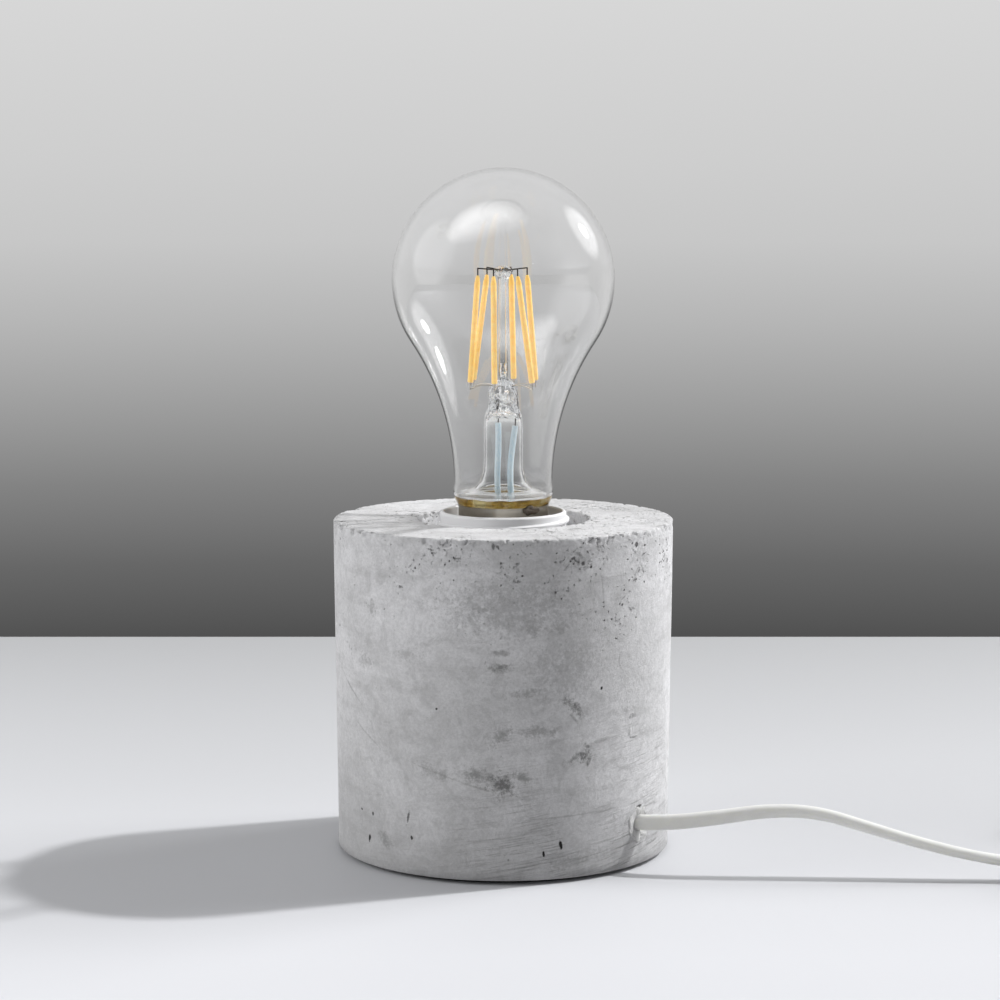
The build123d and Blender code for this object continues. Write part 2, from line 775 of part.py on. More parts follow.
with BuildPart() as bulb_filaments:
    for foot, top in zip(filament_feet, filament_tops):
        with BuildSketch(rod_plane(foot, top)):
            Circle(filament_diameter / 2)
        extrude(amount=(top - foot).length - 2 * wire_gap)

top_wire_lift = Vector(0, 0, wire_radius + fit_gap)
with BuildPart() as bulb_top_wires:
    for top, bead_end in zip(filament_tops, bead_ends):
        wire_start = top + top_wire_lift
        with BuildSketch(rod_plane(wire_start, bead_end)):
            Circle(wire_radius)
        extrude(amount=(bead_end - wire_start).length - 2 * wire_gap)

foot_wire_drop = Vector(0, 0, wire_radius + filament_diameter / 4)
with BuildPart() as bulb_foot_wires:
    for foot, press_end in zip(filament_feet, press_ends):
        wire_start = foot - foot_wire_drop
        with BuildSketch(rod_plane(wire_start, press_end)):
            Circle(wire_radius)
        extrude(amount=(press_end - wire_start).length - 2 * wire_gap)

# Free lead: from the drilled hole to the switch, and from the switch to the coil
cord_lead = cord_tube(lead_points, cord_diameter, "cord_lead")
cord_link = cord_tube(link_points, cord_diameter, "cord_link")
cord_tail = cord_tube(tail_points, cord_diameter, "cord_tail")

# Coil: spirals in on the lower layer, climbs in a half turn, and spirals out on the upper layer
coil_climb_turns = 0.5
quarter = math.pi / 2
coil_quarters = round(4 * (coil_turns_in + coil_climb_turns + coil_turns_out))


def coil_point(turns):
    """The middle of the lead after some turns of the coil."""
    climb = min(max((turns - coil_turns_in) / coil_climb_turns, 0), 1)
    turned_in = min(turns, coil_turns_in)
    turned_out = max(turns - coil_turns_in - coil_climb_turns, 0)
    radius = coil_outer_radius + coil_pitch * (turned_out - turned_in) - coil_climb_dip * math.sin(math.pi * climb)
    z = coil_low_z + coil_pitch * climb * climb * (3 - 2 * climb)
    angle = 2 * math.pi * turns
    return Vector(coil_x + radius * math.cos(angle), coil_y + radius * math.sin(angle), z)


def coil_heading(turns):
    """The direction of the lead there, from two points close by."""
    step = 1e-4
    return (coil_point(turns + step) - coil_point(turns - step)).normalized()


def biarc(start, start_heading, end, end_heading):
    """Two tangent arcs from one point and heading to another."""
    chord = end - start
    both = start_heading + end_heading
    a = both.dot(both) - 4
    b = -2 * chord.dot(both)
    c = chord.dot(chord)
    reach = (-b - math.sqrt(b * b - 4 * a * c)) / (2 * a)
    first = start + start_heading * reach
    last = end - end_heading * reach
    middle = (first + last) * 0.5
    TangentArc(start, middle, tangent=start_heading)
    TangentArc(middle, end, tangent=last - first)


coil_turns = [k / 4 for k in range(coil_quarters + 1)]
coil_points = [coil_point(t) for t in coil_turns]
coil_headings = [coil_heading(t) for t in coil_turns]
coil_headings[0] = Vector(0, 1, 0)
coil_headings[-1] = Vector(1, 0, 0)
with BuildPart() as cord_coil:
    with BuildLine() as coil_path:
        Line(coil_points[0] - coil_headings[0] * cord_diameter, coil_points[0])
        for k in range(coil_quarters):
            biarc(coil_points[k], coil_headings[k], coil_points[k + 1], coil_headings[k + 1])
        Line(coil_points[-1], coil_points[-1] + coil_headings[-1] * cord_diameter)
    with BuildSketch(Plane(origin=coil_path.wire() @ 0, z_dir=coil_headings[0])):
        Circle(cord_radius)
    sweep()

steps_per_turn = 48
coil_samples = [coil_point(k / steps_per_turn) for k in range(int(coil_quarters / 4 * steps_per_turn) + 1)]
self_gap = min(
    (a - b).length - cord_diameter
    for i, a in enumerate(coil_samples)
    for b in coil_samples[i + steps_per_turn // 2 :]
)
coil_length = coil_path.wire().length
coil_share = cord_coil.part.volume / (math.pi * cord_radius**2 * coil_length)
print("cord_coil length", round(coil_length, 1), "volume share", round(coil_share, 4), "least gap", round(self_gap, 2))

# Tie: a flat strap closed round one side of the coil
coil_bore_radius = coil_inner_radius - coil_climb_dip - cord_radius
tie_inner_radius = math.sqrt(coil_bore_radius**2 - (tie_width / 2) ** 2) - tie_play
tie_outer_radius = coil_outer_radius + cord_radius + tie_play
tie_top_z = coil_high_z + cord_radius + tie_play
tie_middle = (tie_inner_radius + tie_outer_radius) / 2
with BuildPart() as cord_tie:
    with BuildSketch(Plane(origin=(coil_x - tie_middle, coil_y, tie_top_z / 2), z_dir=(0, -1, 0), x_dir=(1, 0, 0))):
        tie_bore_width = tie_outer_radius - tie_inner_radius
        with Locations((0, tie_thickness / 2)):
            RectangleRounded(tie_bore_width + 2 * tie_thickness, tie_top_z + tie_thickness, radius=cord_radius)
            RectangleRounded(tie_bore_width, tie_top_z - tie_thickness, radius=cord_radius / 2, mode=Mode.SUBTRACT)
    extrude(amount=tie_width / 2, both=True)

# Plug: moulded body with its tapered tail, lying on the coil with its pins towards -X
plug_origin = tail_points[-1] + Vector(plug_socket_depth, 0, 0)


def plug_plane(distance):
    """The cross-section of the plug at a distance from the end of its tail."""
    return Plane(origin=plug_origin - Vector(distance, 0, 0), x_dir=(0, 1, 0), z_dir=(-1, 0, 0))


plug_shoulder_end = plug_tail_length + plug_shoulder_length
plug_face = plug_shoulder_end + plug_face_length
with BuildPart() as plug_body:
    with BuildSketch(plug_plane(0)):
        Circle(plug_tail_diameter / 2)
    with BuildSketch(plug_plane(plug_tail_length)):
        Circle(plug_tail_root_diameter / 2)
    loft()
    with BuildSketch(plug_plane(plug_tail_length)):
        RectangleRounded(plug_neck_width, plug_neck_height, radius=plug_corner)
    with BuildSketch(plug_plane(plug_shoulder_end)):
        RectangleRounded(plug_width, plug_height, radius=plug_corner)
    loft()
    with BuildSketch(plug_plane(plug_shoulder_end)):
        RectangleRounded(plug_width, plug_height, radius=plug_corner)
    extrude(amount=plug_face_length)
    with BuildSketch(plug_plane(0)):
        Circle(cord_radius + fit_gap)
    extrude(amount=plug_socket_depth + fit_gap, mode=Mode.SUBTRACT)
    with BuildSketch(plug_plane(plug_face)):
        with Locations((pin_spacing / 2, 0), (-pin_spacing / 2, 0)):
            Circle(pin_core_diameter / 2 + fit_gap)
    extrude(amount=-pin_root, mode=Mode.SUBTRACT)

with BuildPart() as plug_pins:
    with BuildSketch(plug_plane(plug_face - pin_root + fit_gap)):
        with Locations((pin_spacing / 2, 0), (-pin_spacing / 2, 0)):
            Circle(pin_core_diameter / 2)
    extrude(amount=pin_root - fit_gap + sleeve_pin_length)
    with BuildSketch(plug_plane(plug_face + sleeve_pin_length)):
        with Locations((pin_spacing / 2, 0), (-pin_spacing / 2, 0)):
            Circle(pin_diameter / 2)
    extrude(amount=pin_length - sleeve_pin_length)
    fillet(plug_pins.edges().group_by(Axis.X)[0], radius=pin_diameter / 4)

with BuildPart() as plug_sleeves:
    with BuildSketch(plug_plane(plug_face)):
        with Locations((pin_spacing / 2, 0), (-pin_spacing / 2, 0)):
            Circle(sleeve_pin_diameter / 2)
            Circle(pin_core_diameter / 2 + wire_gap, mode=Mode.SUBTRACT)
    extrude(amount=sleeve_pin_length - wire_gap)

# Switch on the lead: two moulded halves that bow out round the rocker
switch_centre = Vector(switch_x, switch_y, 0)


def switch_plane(z):
    return Plane(origin=switch_centre + Vector(0, 0, z))


def switch_outline(inset):
    """The switch's plan: two shallow arcs between blunt ends, moved in by the wall."""
    half_length = switch_length / 2 - inset
    half_end = switch_end_width / 2 - inset
    half_width = switch_width / 2 - inset
    ThreePointArc((-half_length, half_end), (0, half_width), (half_length, half_end))
    Line((half_length, half_end), (half_length, -half_end))
    ThreePointArc((half_length, -half_end), (0, -half_width), (-half_length, -half_end))
    Line((-half_length, -half_end), (-half_length, half_end))


screw_places = [(-switch_screw_x, switch_screw_y), (switch_screw_x, -switch_screw_y)]
pivot_y = rocker_width / 2 + turn_gap + post_width / 2
pivot_places = [(0, pivot_y), (0, -pivot_y)]
keeper_z = pivot_height + pivot_diameter / 2 + pivot_gap
cord_entry = switch_centre + Vector(-switch_length, 0, switch_split)
cord_plane = Plane(origin=cord_entry, x_dir=(0, 1, 0), z_dir=(1, 0, 0))
with BuildPart() as switch_base:
    with BuildSketch(switch_plane(0)) as base_plan:
        with BuildLine():
            switch_outline(0)
        make_face()
        fillet(base_plan.vertices(), radius=switch_corner)
    extrude(amount=switch_split)
    with BuildSketch(switch_plane(switch_wall)):
        with BuildLine():
            switch_outline(switch_wall)
        make_face()
    extrude(amount=switch_split, mode=Mode.SUBTRACT)
    with BuildSketch(switch_plane(0)):
        with Locations(*screw_places):
            Circle(screw_post_diameter / 2)
    extrude(amount=switch_split)
    with BuildSketch(switch_plane(0)):
        with Locations(*pivot_places):
            Rectangle(post_length, post_width)
    extrude(amount=pivot_height)
    with BuildSketch(Plane(origin=switch_centre + Vector(0, 0, pivot_height), z_dir=(0, 1, 0))):
        Circle(pivot_diameter / 2 + pivot_gap)
    extrude(amount=switch_width, both=True, mode=Mode.SUBTRACT)
    with BuildSketch(cord_plane):
        Circle(cord_radius + fit_gap)
    extrude(amount=2 * switch_length, mode=Mode.SUBTRACT)
    with BuildSketch(switch_plane(0)):
        with Locations(*screw_places):
            Circle(switch_screw_diameter / 2 + fit_gap)
    extrude(amount=switch_split, mode=Mode.SUBTRACT)
    with BuildSketch(switch_plane(0)):
        with Locations(*screw_places):
            Circle(switch_screw_head / 2 + fit_gap)
    extrude(amount=switch_screw_head_height, mode=Mode.SUBTRACT)

rocker_opening = rocker_length + 2 * rocker_swing_gap
with BuildPart() as switch_cover:
    with BuildSketch(switch_plane(switch_split)) as cover_plan:
        with BuildLine():
            switch_outline(0)
        make_face()
        fillet(cover_plan.vertices(), radius=switch_corner)
    extrude(amount=switch_height - switch_split)
    fillet(switch_cover.edges().group_by(Axis.Z)[-1], radius=switch_top_round)
    with BuildSketch(switch_plane(switch_split)):
        with BuildLine():
            switch_outline(switch_wall + switch_top_round / 2)
        make_face()
    extrude(amount=switch_height - switch_split - switch_wall, mode=Mode.SUBTRACT)
    with BuildSketch(switch_plane(switch_split)):
        with Locations(*screw_places):
            Circle(screw_post_diameter / 2)
    extrude(amount=switch_height - switch_split - switch_wall)
    with BuildSketch(switch_plane(keeper_z)):
        with Locations(*pivot_places):
            Rectangle(post_length, post_width)
    extrude(amount=switch_height - switch_wall - keeper_z)
    with BuildSketch(switch_plane(switch_split)):
        RectangleRounded(rocker_opening, rocker_width + 2 * rocker_side_gap, radius=switch_wall)
    extrude(amount=switch_height, mode=Mode.SUBTRACT)
    with BuildSketch(cord_plane):
        Circle(cord_radius + fit_gap)
    extrude(amount=2 * switch_length, mode=Mode.SUBTRACT)
    with BuildSketch(switch_plane(switch_split)):
        with Locations(*screw_places):
            Circle(switch_screw_diameter / 2 + fit_gap)
    extrude(amount=switch_height - switch_split - switch_wall - fit_gap, mode=Mode.SUBTRACT)

# Rocker at rest in its off position, tilted about its pivot
tilt = math.radians(rocker_tilt)
rocker_plane = Plane(
    origin=switch_centre + Vector(0, 0, pivot_height),
    x_dir=(math.cos(tilt), 0, -math.sin(tilt)),
    z_dir=(0, -1, 0),
)
rocker_top = switch_height + rocker_proud - pivot_height
with BuildPart() as switch_rocker:
    with BuildSketch(rocker_plane):
        with BuildLine():
            Polyline(
                (-rocker_length / 2, pivot_diameter / 2),
                (-rocker_length / 2, rocker_top),
                (0, rocker_top - rocker_dip),
                (rocker_length / 2, rocker_top),
                (rocker_length / 2, pivot_diameter / 2),
                (pivot_diameter / 2, 0),
                (-pivot_diameter / 2, 0),
                close=True,
            )
        make_face()
    extrude(amount=rocker_width / 2, both=True)
    with BuildSketch(rocker_plane):
        Circle(pivot_diameter / 2)
    extrude(amount=rocker_width / 2 + turn_gap + post_width, both=True)

with BuildPart() as switch_screws:
    with BuildSketch(switch_plane(0)):
        with Locations(*screw_places):
            Circle(switch_screw_head / 2)
    extrude(amount=switch_screw_head_height - fit_gap)
    with BuildSketch(switch_plane(switch_screw_head_height - fit_gap)):
        with Locations(*screw_places):
            Circle(switch_screw_diameter / 2)
    extrude(amount=switch_height - switch_wall - switch_screw_head_height - 2 * fit_gap)

core_y = core_diameter / 2 + fit_gap
with BuildPart() as switch_terminals:
    with BuildSketch(switch_plane(switch_wall)):
        with Locations((-switch_terminal_x, switch_terminal_width / 2), (switch_terminal_x, switch_terminal_width / 2)):
            Rectangle(switch_terminal_length, switch_terminal_width)
    extrude(amount=switch_split + switch_terminal_top - switch_wall)
    with BuildSketch(cord_plane):
        with Locations((core_y, 0)):
            Circle(core_diameter / 2 + wire_gap)
    extrude(amount=2 * switch_length, mode=Mode.SUBTRACT)

with BuildPart() as switch_cores:
    core_start = switch_length / 2 - sheath_end_inset
    with BuildSketch(Plane(origin=switch_centre + Vector(-core_start, 0, switch_split), x_dir=(0, 1, 0), z_dir=(1, 0, 0))):
        with Locations((-core_y, 0)):
            Circle(core_diameter / 2)
    extrude(amount=2 * core_start)
    for side in (-1, 1):
        with BuildSketch(
            Plane(origin=switch_centre + Vector(side * core_start, 0, switch_split), x_dir=(0, 1, 0), z_dir=(-side, 0, 0))
        ):
            with Locations((core_y, 0)):
                Circle(core_diameter / 2)
        extrude(amount=core_start - switch_terminal_x + switch_terminal_length / 2)

pieces = {
    "concrete_body": concrete_body,
    "base_pad": base_pad,
    "nipple": nipple,
    "nipple_washer": nipple_washer,
    "nipple_lock_washer": nipple_lock_washer,
    "nipple_nut": nipple_nut,
    "lampholder_dome": lampholder_dome,
    "dome_grub_screw": dome_grub_screw,
    "lampholder_skirt": lampholder_skirt,
    "lampholder_core": lampholder_core,
    "screw_shell": screw_shell,
    "centre_contact": centre_contact,
    "side_contact": side_contact,
    "terminal_blocks": terminal_blocks,
    "terminal_screws": terminal_screws,
    "inner_cord": inner_cord,
    "core_live": core_live,
    "core_neutral": core_neutral,
    "cord_stop": cord_stop,
    "cord_stop_screw": cord_stop_screw,
    "bulb_glass": bulb_glass,
    "bulb_cap": bulb_cap,
    "bulb_cap_insulator": bulb_cap_insulator,
    "bulb_eyelet": bulb_eyelet,
    "bulb_cement": bulb_cement,
    "bulb_driver": bulb_driver,
    "bulb_stem": bulb_stem,
    "bulb_lead_sleeves": bulb_lead_sleeves,
    "bulb_lead_wires": bulb_lead_wires,
    "bulb_filaments": bulb_filaments,
    "bulb_top_wires": bulb_top_wires,
    "bulb_foot_wires": bulb_foot_wires,
    "cord_lead": cord_lead,
    "cord_link": cord_link,
    "cord_coil": cord_coil,
    "cord_tail": cord_tail,
    "cord_tie": cord_tie,
    "plug_body": plug_body,
    "plug_pins": plug_pins,
    "plug_sleeves": plug_sleeves,
    "switch_base": switch_base,
    "switch_cover": switch_cover,
    "switch_rocker": switch_rocker,
    "switch_screws": switch_screws,
    "switch_terminals": switch_terminals,
    "switch_cores": switch_cores,
}
os.makedirs("parts", exist_ok=True)
for name, piece in pieces.items():
    piece.part.label = name
    export_step(piece.part, f"parts/{name}.step")
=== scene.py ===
# %% [markdown]
# # A concrete table lamp
# The lamp is a cast concrete cylinder with a recess in its top. A white screw lampholder stands in
# the recess and holds a clear filament bulb, and a white lead leaves the base low on the right.
# The CAD frame gives every solid at its real size, so each piece here is made in the same metres,
# at the origin, and only adds what the solids leave out: chips, threads, glass and finishes.

# %% Load the CAD frame
import json
import math

import bmesh
import bpy
from mathutils import Matrix, Vector, noise

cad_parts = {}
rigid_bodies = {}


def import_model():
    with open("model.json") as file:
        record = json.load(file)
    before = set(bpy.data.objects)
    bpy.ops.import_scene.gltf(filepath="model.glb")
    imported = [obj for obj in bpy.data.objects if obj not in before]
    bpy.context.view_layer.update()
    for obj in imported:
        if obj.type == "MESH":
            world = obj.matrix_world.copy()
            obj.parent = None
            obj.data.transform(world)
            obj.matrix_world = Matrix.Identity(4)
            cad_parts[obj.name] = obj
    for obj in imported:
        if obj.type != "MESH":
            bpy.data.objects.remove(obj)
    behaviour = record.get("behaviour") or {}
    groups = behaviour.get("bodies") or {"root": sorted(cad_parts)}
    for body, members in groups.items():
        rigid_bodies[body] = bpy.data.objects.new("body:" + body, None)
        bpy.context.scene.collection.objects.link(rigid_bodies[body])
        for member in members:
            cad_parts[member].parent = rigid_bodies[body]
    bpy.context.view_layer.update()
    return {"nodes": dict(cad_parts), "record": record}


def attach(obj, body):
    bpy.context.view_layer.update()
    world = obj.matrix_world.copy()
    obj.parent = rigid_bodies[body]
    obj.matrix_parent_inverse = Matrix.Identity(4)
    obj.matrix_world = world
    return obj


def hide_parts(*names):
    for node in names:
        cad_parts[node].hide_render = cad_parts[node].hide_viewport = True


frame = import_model()
MM = 0.001
shown = bpy.context.scene.collection.objects
bodies = frame["record"]["behaviour"]["bodies"]
body_of_node = {node: body for body, nodes in bodies.items() for node in nodes}

# %% [markdown]
# ## Camera
# The picture was taken with a long lens, a little above the lamp and tilted down by seven degrees.
# A long lens keeps the cylinder's sides almost parallel. The focal length is in pixels of a
# 1000 pixel frame, and the sensor's width turns it into millimetres.

# %% Set the camera
SENSOR_WIDTH = 36.0
FOCAL_PIXELS = 2747.8
CAMERA_PLACE = (-0.00096, -0.8044, 0.2017)
CAMERA_TILT = 83.04

camera_data = bpy.data.cameras.new("camera")
camera_data.sensor_width = SENSOR_WIDTH
camera_data.lens = SENSOR_WIDTH * FOCAL_PIXELS / 1000
camera = bpy.data.objects.new("camera", camera_data)
camera.location = CAMERA_PLACE
camera.rotation_euler = (math.radians(CAMERA_TILT), 0, 0)
shown.link(camera)
bpy.context.scene.camera = camera
print("lens", round(camera_data.lens, 2), "mm")

# %% [markdown]
# ## Colours and nodes
# Colours are written as sRGB hex values, as a picker shows them, and one function makes them linear,
# because shaders work in linear light. One more function adds a node with its settings and links,
# so that a material reads as a short list of steps.


# %% Helpers for materials
def linear(hex_colour):
    """An sRGB hex value as the linear colour that a shader takes."""
    shares = [int(hex_colour[i : i + 2], 16) / 255 for i in (1, 3, 5)]
    return [c / 12.92 if c <= 0.04045 else ((c + 0.055) / 1.055) ** 2.4 for c in shares] + [1.0]


def add(tree, kind, inputs=None, **settings):
    """One shader node; inputs maps a socket to a value, or to the node or socket that feeds it."""
    node = tree.nodes.new("ShaderNode" + kind)
    for name, value in settings.items():
        setattr(node, name, value)
    for socket, value in (inputs or {}).items():
        if isinstance(value, bpy.types.Node):
            value = value.outputs[0]
        if isinstance(value, bpy.types.NodeSocket):
            tree.links.new(value, node.inputs[socket])
        else:
            node.inputs[socket].default_value = value
    return node


def finish(name, colour, roughness, **sockets):
    """A material with one Principled shader, and the tree and shader to add detail to."""
    material = bpy.data.materials.new(name)
    material.use_nodes = True
    shader = material.node_tree.nodes["Principled BSDF"]
    shader.inputs["Base Color"].default_value = linear(colour)
    shader.inputs["Roughness"].default_value = roughness
    for socket, value in sockets.items():
        shader.inputs[socket.replace("_", " ")].default_value = value
    print("finish:", name)
    return material, material.node_tree, shader


def feed(tree, node, **sockets):
    """Links nodes or their outputs to a node's sockets, once they are made."""
    for socket, source in sockets.items():
        output = source.outputs[0] if isinstance(source, bpy.types.Node) else source
        tree.links.new(output, node.inputs[socket.replace("_", " ")])


def per_mm(size):
    """A texture's scale for a feature of this size in millimetres, on coordinates in metres."""
    return 1 / (size * MM)


# %% [markdown]
# ## The lead
# The lead is a flat white PVC cable of two cores, so it looks thick where its broad side shows and
# thin where its edge does. A soft cable has no straight runs and no corners: it is a NURBS curve of
# order 3 through the same route points as the solids. A curve's extrude and bevel together give
# the flat section with round edges, and each point's tilt turns it.
# PVC is smooth and slightly waxy: a fairly low roughness, a very fine unevenness, and some light
# that passes through it.


# %% White PVC of the sheath
def mottled(tree, shader, size, dark, pale, detail, relief=None, **pattern):
    """Lets the colour wander between two tones at a size in mm; relief is a strength and a depth in mm."""
    place = add(tree, "TexCoord").outputs["Object"]
    patches = add(tree, "TexNoise", {"Vector": place, "Scale": per_mm(size), "Detail": detail, **pattern})
    tone = add(tree, "Mix", {0: patches, 6: linear(dark), 7: linear(pale)}, data_type="RGBA").outputs[2]
    feed(tree, shader, Base_Color=tone)
    if relief:
        strength, depth = relief
        bump = add(tree, "Bump", {"Height": patches, "Strength": strength, "Distance": depth * MM})
        feed(tree, shader, Normal=bump)
    return patches, tone


sheath, tree, shader = finish(
    "white_pvc_sheath", "#E8E8E6", 0.42, IOR=1.53,
    Subsurface_Weight=0.6, Subsurface_Radius=(0.004, 0.004, 0.0036), Subsurface_Scale=1.0,
)
mottled(tree, shader, 2.5, "#E3E3E1", "#EDEDEB", detail=3, relief=(0.12, 0.2))

# %% Route of the lead, in millimetres
CORD_DIAMETER = 4.6
CORD_THICKNESS = 3.1
COIL_X, COIL_Y = 208.0, 16.0
COIL_INNER_RADIUS = 17.5
COIL_PITCH = CORD_DIAMETER + 0.5
COIL_TURNS_IN = 4.25
COIL_TURNS_OUT = 4.0
COIL_CLIMB = 0.5
COIL_DIP = 1.2
COIL_LOW = 0.8 + CORD_DIAMETER / 2
COIL_HIGH = COIL_LOW + COIL_PITCH
COIL_STEPS = 24
PLUG_AXIS = (39.2, 17.45)

lead_route = [
    (35.2, -26.4, 13.0), (44.6, -32.4, 13.8), (60.0, -34.2, 15.8), (76.0, -34.5, 18.3),
    (90.0, -35.2, 17.9), (104.0, -37.3, 14.0), (118.0, -39.6, 10.1), (132.0, -41.6, 7.0),
    (144.0, -42.8, 5.2), (154.5, -43.0, 5.5), (165.0, -43.0, 5.5),
]
coil_outer = COIL_INNER_RADIUS + COIL_TURNS_IN * COIL_PITCH
coil_end = COIL_INNER_RADIUS + COIL_TURNS_OUT * COIL_PITCH
link_route = [
    (209.0, -43.0, 5.5), (222.5, -43.0, 5.5), (238.5, -36.0, 4.1), (246.0, -21.0, 3.4),
    (COIL_X + coil_outer, -5.0, COIL_LOW), (COIL_X + coil_outer, COIL_Y - CORD_DIAMETER, COIL_LOW),
]
tail_route = [
    (COIL_X + CORD_DIAMETER, COIL_Y - coil_end, COIL_HIGH), (227.0, COIL_Y - coil_end, COIL_HIGH),
    (239.2, -13.8, 9.9), (244.2, 2.5, 12.6), (242.6, 19.0, 14.8), (235.6, 32.2, 16.5),
    (224.0, *PLUG_AXIS), (212.0, *PLUG_AXIS),
]


def coil_point(turns):
    """Where the lead is after some turns: in on the lower layer, up, and out on the upper one."""
    climb = min(max((turns - COIL_TURNS_IN) / COIL_CLIMB, 0), 1)
    wound = max(turns - COIL_TURNS_IN - COIL_CLIMB, 0) - min(turns, COIL_TURNS_IN)
    radius = coil_outer + COIL_PITCH * wound - COIL_DIP * math.sin(math.pi * climb)
    angle = 2 * math.pi * turns
    height = COIL_LOW + COIL_PITCH * climb * climb * (3 - 2 * climb)
    return (COIL_X + radius * math.cos(angle), COIL_Y + radius * math.sin(angle), height)


coil_count = round((COIL_TURNS_IN + COIL_CLIMB + COIL_TURNS_OUT) * COIL_STEPS)
coil_route = [coil_point(step / COIL_STEPS) for step in range(coil_count + 1)]
stored_route = link_route + coil_route + tail_route
print("route points:", len(lead_route), "and", len(stored_route))


# %% Lay the lead
def smooth_curve(name, route, radius):
    """A curve object with one open NURBS spline of order 3 through points in mm, round and capped."""
    curve = bpy.data.curves.new(name, "CURVE")
    curve.dimensions = "3D"
    spline = curve.splines.new("NURBS")
    spline.points.add(len(route) - 1)
    for point, position in zip(spline.points, route):
        point.co = (*(c * MM for c in position), 1)
    spline.order_u = 3
    spline.use_endpoint_u = True
    curve.bevel_depth = radius * MM
    curve.use_fill_caps = True
    return bpy.data.objects.new(name, curve), curve, spline


def lay_cord(name, route, tilts, material, *nodes):
    """A flat cord, on edge at a tilt of 0, in place of its solids."""
    cord, curve, spline = smooth_curve(name, route, CORD_THICKNESS / 2)
    for point, tilt in zip(spline.points, tilts):
        point.tilt = math.radians(tilt)
    spline.resolution_u = 10 if len(route) < 30 else 4
    curve.twist_mode = "Z_UP"
    curve.extrude = (CORD_DIAMETER - CORD_THICKNESS) * MM / 2
    curve.bevel_resolution = 6
    curve.materials.append(material)
    shown.link(cord)
    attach(cord, "lamp")
    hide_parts(*nodes)
    print("cord:", name, "along", len(route), "points")
    return cord


lead_tilts = [5, 8, 22, 40, 55, 65, 70, 75, 85, 90, 90]
link_tilts = [90, 90, 60, 30, 10, 0]
tail_tilts = [0, 0, 10, 30, 50, 70, 90, 90]
stored_tilts = link_tilts + [0] * len(coil_route) + tail_tilts
lead = lay_cord("lead_to_switch", lead_route, lead_tilts, sheath, "cord_lead")
stored_nodes = ("cord_link", "cord_coil", "cord_tail")
stored_lead = lay_cord("lead_to_plug", stored_route, stored_tilts, sheath, *stored_nodes)

# %% [markdown]
# ## Meshes by turning
# Most of the lamp is round, so most pieces are turned: an outline of radius and height is spun once
# about the lamp's axis. Doubles are merged where the spin closes and on the axis, and the
# normals are recalculated, because a spin can leave a mesh inside out.


# %% Helpers for meshes
def turned(outline, steps):
    """A mesh spun from a closed outline of (radius, height) pairs in mm round the lamp's axis."""
    bm = bmesh.new()
    verts = [bm.verts.new((radius * MM, 0, height * MM)) for radius, height in outline]
    edges = [bm.edges.new(pair) for pair in zip(verts, verts[1:] + verts[:1])]
    return spun(bm, verts + edges, steps)


def spun(bm, geom, steps):
    """Closes what is given into a full turn, with its doubles merged and its normals outwards."""
    full, up = 2 * math.pi, (0, 0, 1)
    bmesh.ops.spin(bm, geom=geom, cent=(0, 0, 0), axis=up, angle=full, steps=steps, use_merge=True)
    bmesh.ops.remove_doubles(bm, verts=bm.verts, dist=1e-6)
    bmesh.ops.recalc_face_normals(bm, faces=bm.faces)
    return bm


def placed_mesh(name, bm, *materials):
    """The finished mesh as an object in the scene."""
    mesh = bpy.data.meshes.new(name)
    bm.to_mesh(mesh)
    bm.free()
    for material in materials:
        mesh.materials.append(material)
    obj = bpy.data.objects.new(name, mesh)
    shown.link(obj)
    return obj


def piece(name, bm, material, body, *nodes, slot=None, sharp=38, bevel=0):
    """Makes the mesh a piece of the lamp that rides on a body and stands for solids."""
    obj = placed_mesh(name, bm, material)
    obj.data.shade_smooth()
    obj.data.set_sharp_from_angle(angle=math.radians(sharp))
    if bevel:
        rounding = obj.modifiers.new("rounded_edges", "BEVEL")
        rounding.width = bevel * MM
        rounding.segments = 3
        rounding.limit_method = "ANGLE"
        rounding.angle_limit = math.radians(sharp)
        rounding.harden_normals = True
    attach(obj, body)
    if nodes:
        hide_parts(*nodes)
    print("piece:", name, "of", len(obj.data.polygons), "faces on", body)
    return obj


def dressed(node, material, bevel=0, sharp=30):
    """A solid's own shape with merged triangles, smooth curves and edges rounded as made."""
    bm = bmesh.new()
    bm.from_mesh(frame["nodes"][node].data)
    bmesh.ops.remove_doubles(bm, verts=bm.verts, dist=1e-6)
    bmesh.ops.dissolve_limit(bm, angle_limit=math.radians(0.5), verts=bm.verts, edges=bm.edges)
    return piece(node + "_dressed", bm, material, body_of_node[node], node, sharp=sharp, bevel=bevel)


# %% [markdown]
# ## Cast concrete
# The cylinder was cast in a mould, so its skin is pale and dense, with darker clouds where the mix
# was wetter, many fine pits from air bubbles towards the top, a few scratches and greasy smudges.
# Clouds, pits and trowel lines are patterns on Object coordinates at their real sizes. Marks that
# show in the picture are placed by their angle round the cylinder and their height.

# %% Concrete: clouds and grain
concrete, tree, shader = finish("cast_concrete", "#D2D2D3", 0.9, Specular_IOR_Level=0.25)
place = add(tree, "TexCoord").outputs["Object"]
axes = add(tree, "SeparateXYZ", {0: place})
height = axes.outputs["Z"]
cloud = add(
    tree, "TexNoise",
    {"Vector": place, "Scale": per_mm(40), "Detail": 8, "Roughness": 0.66, "Distortion": 0.6},
)
cloud_tone = add(tree, "ValToRGB", {0: cloud})
for stop, position, shade in zip(cloud_tone.color_ramp.elements, (0.33, 0.64), ("#CBCBCC", "#E7E7E9")):
    stop.position = position
    stop.color = linear(shade)
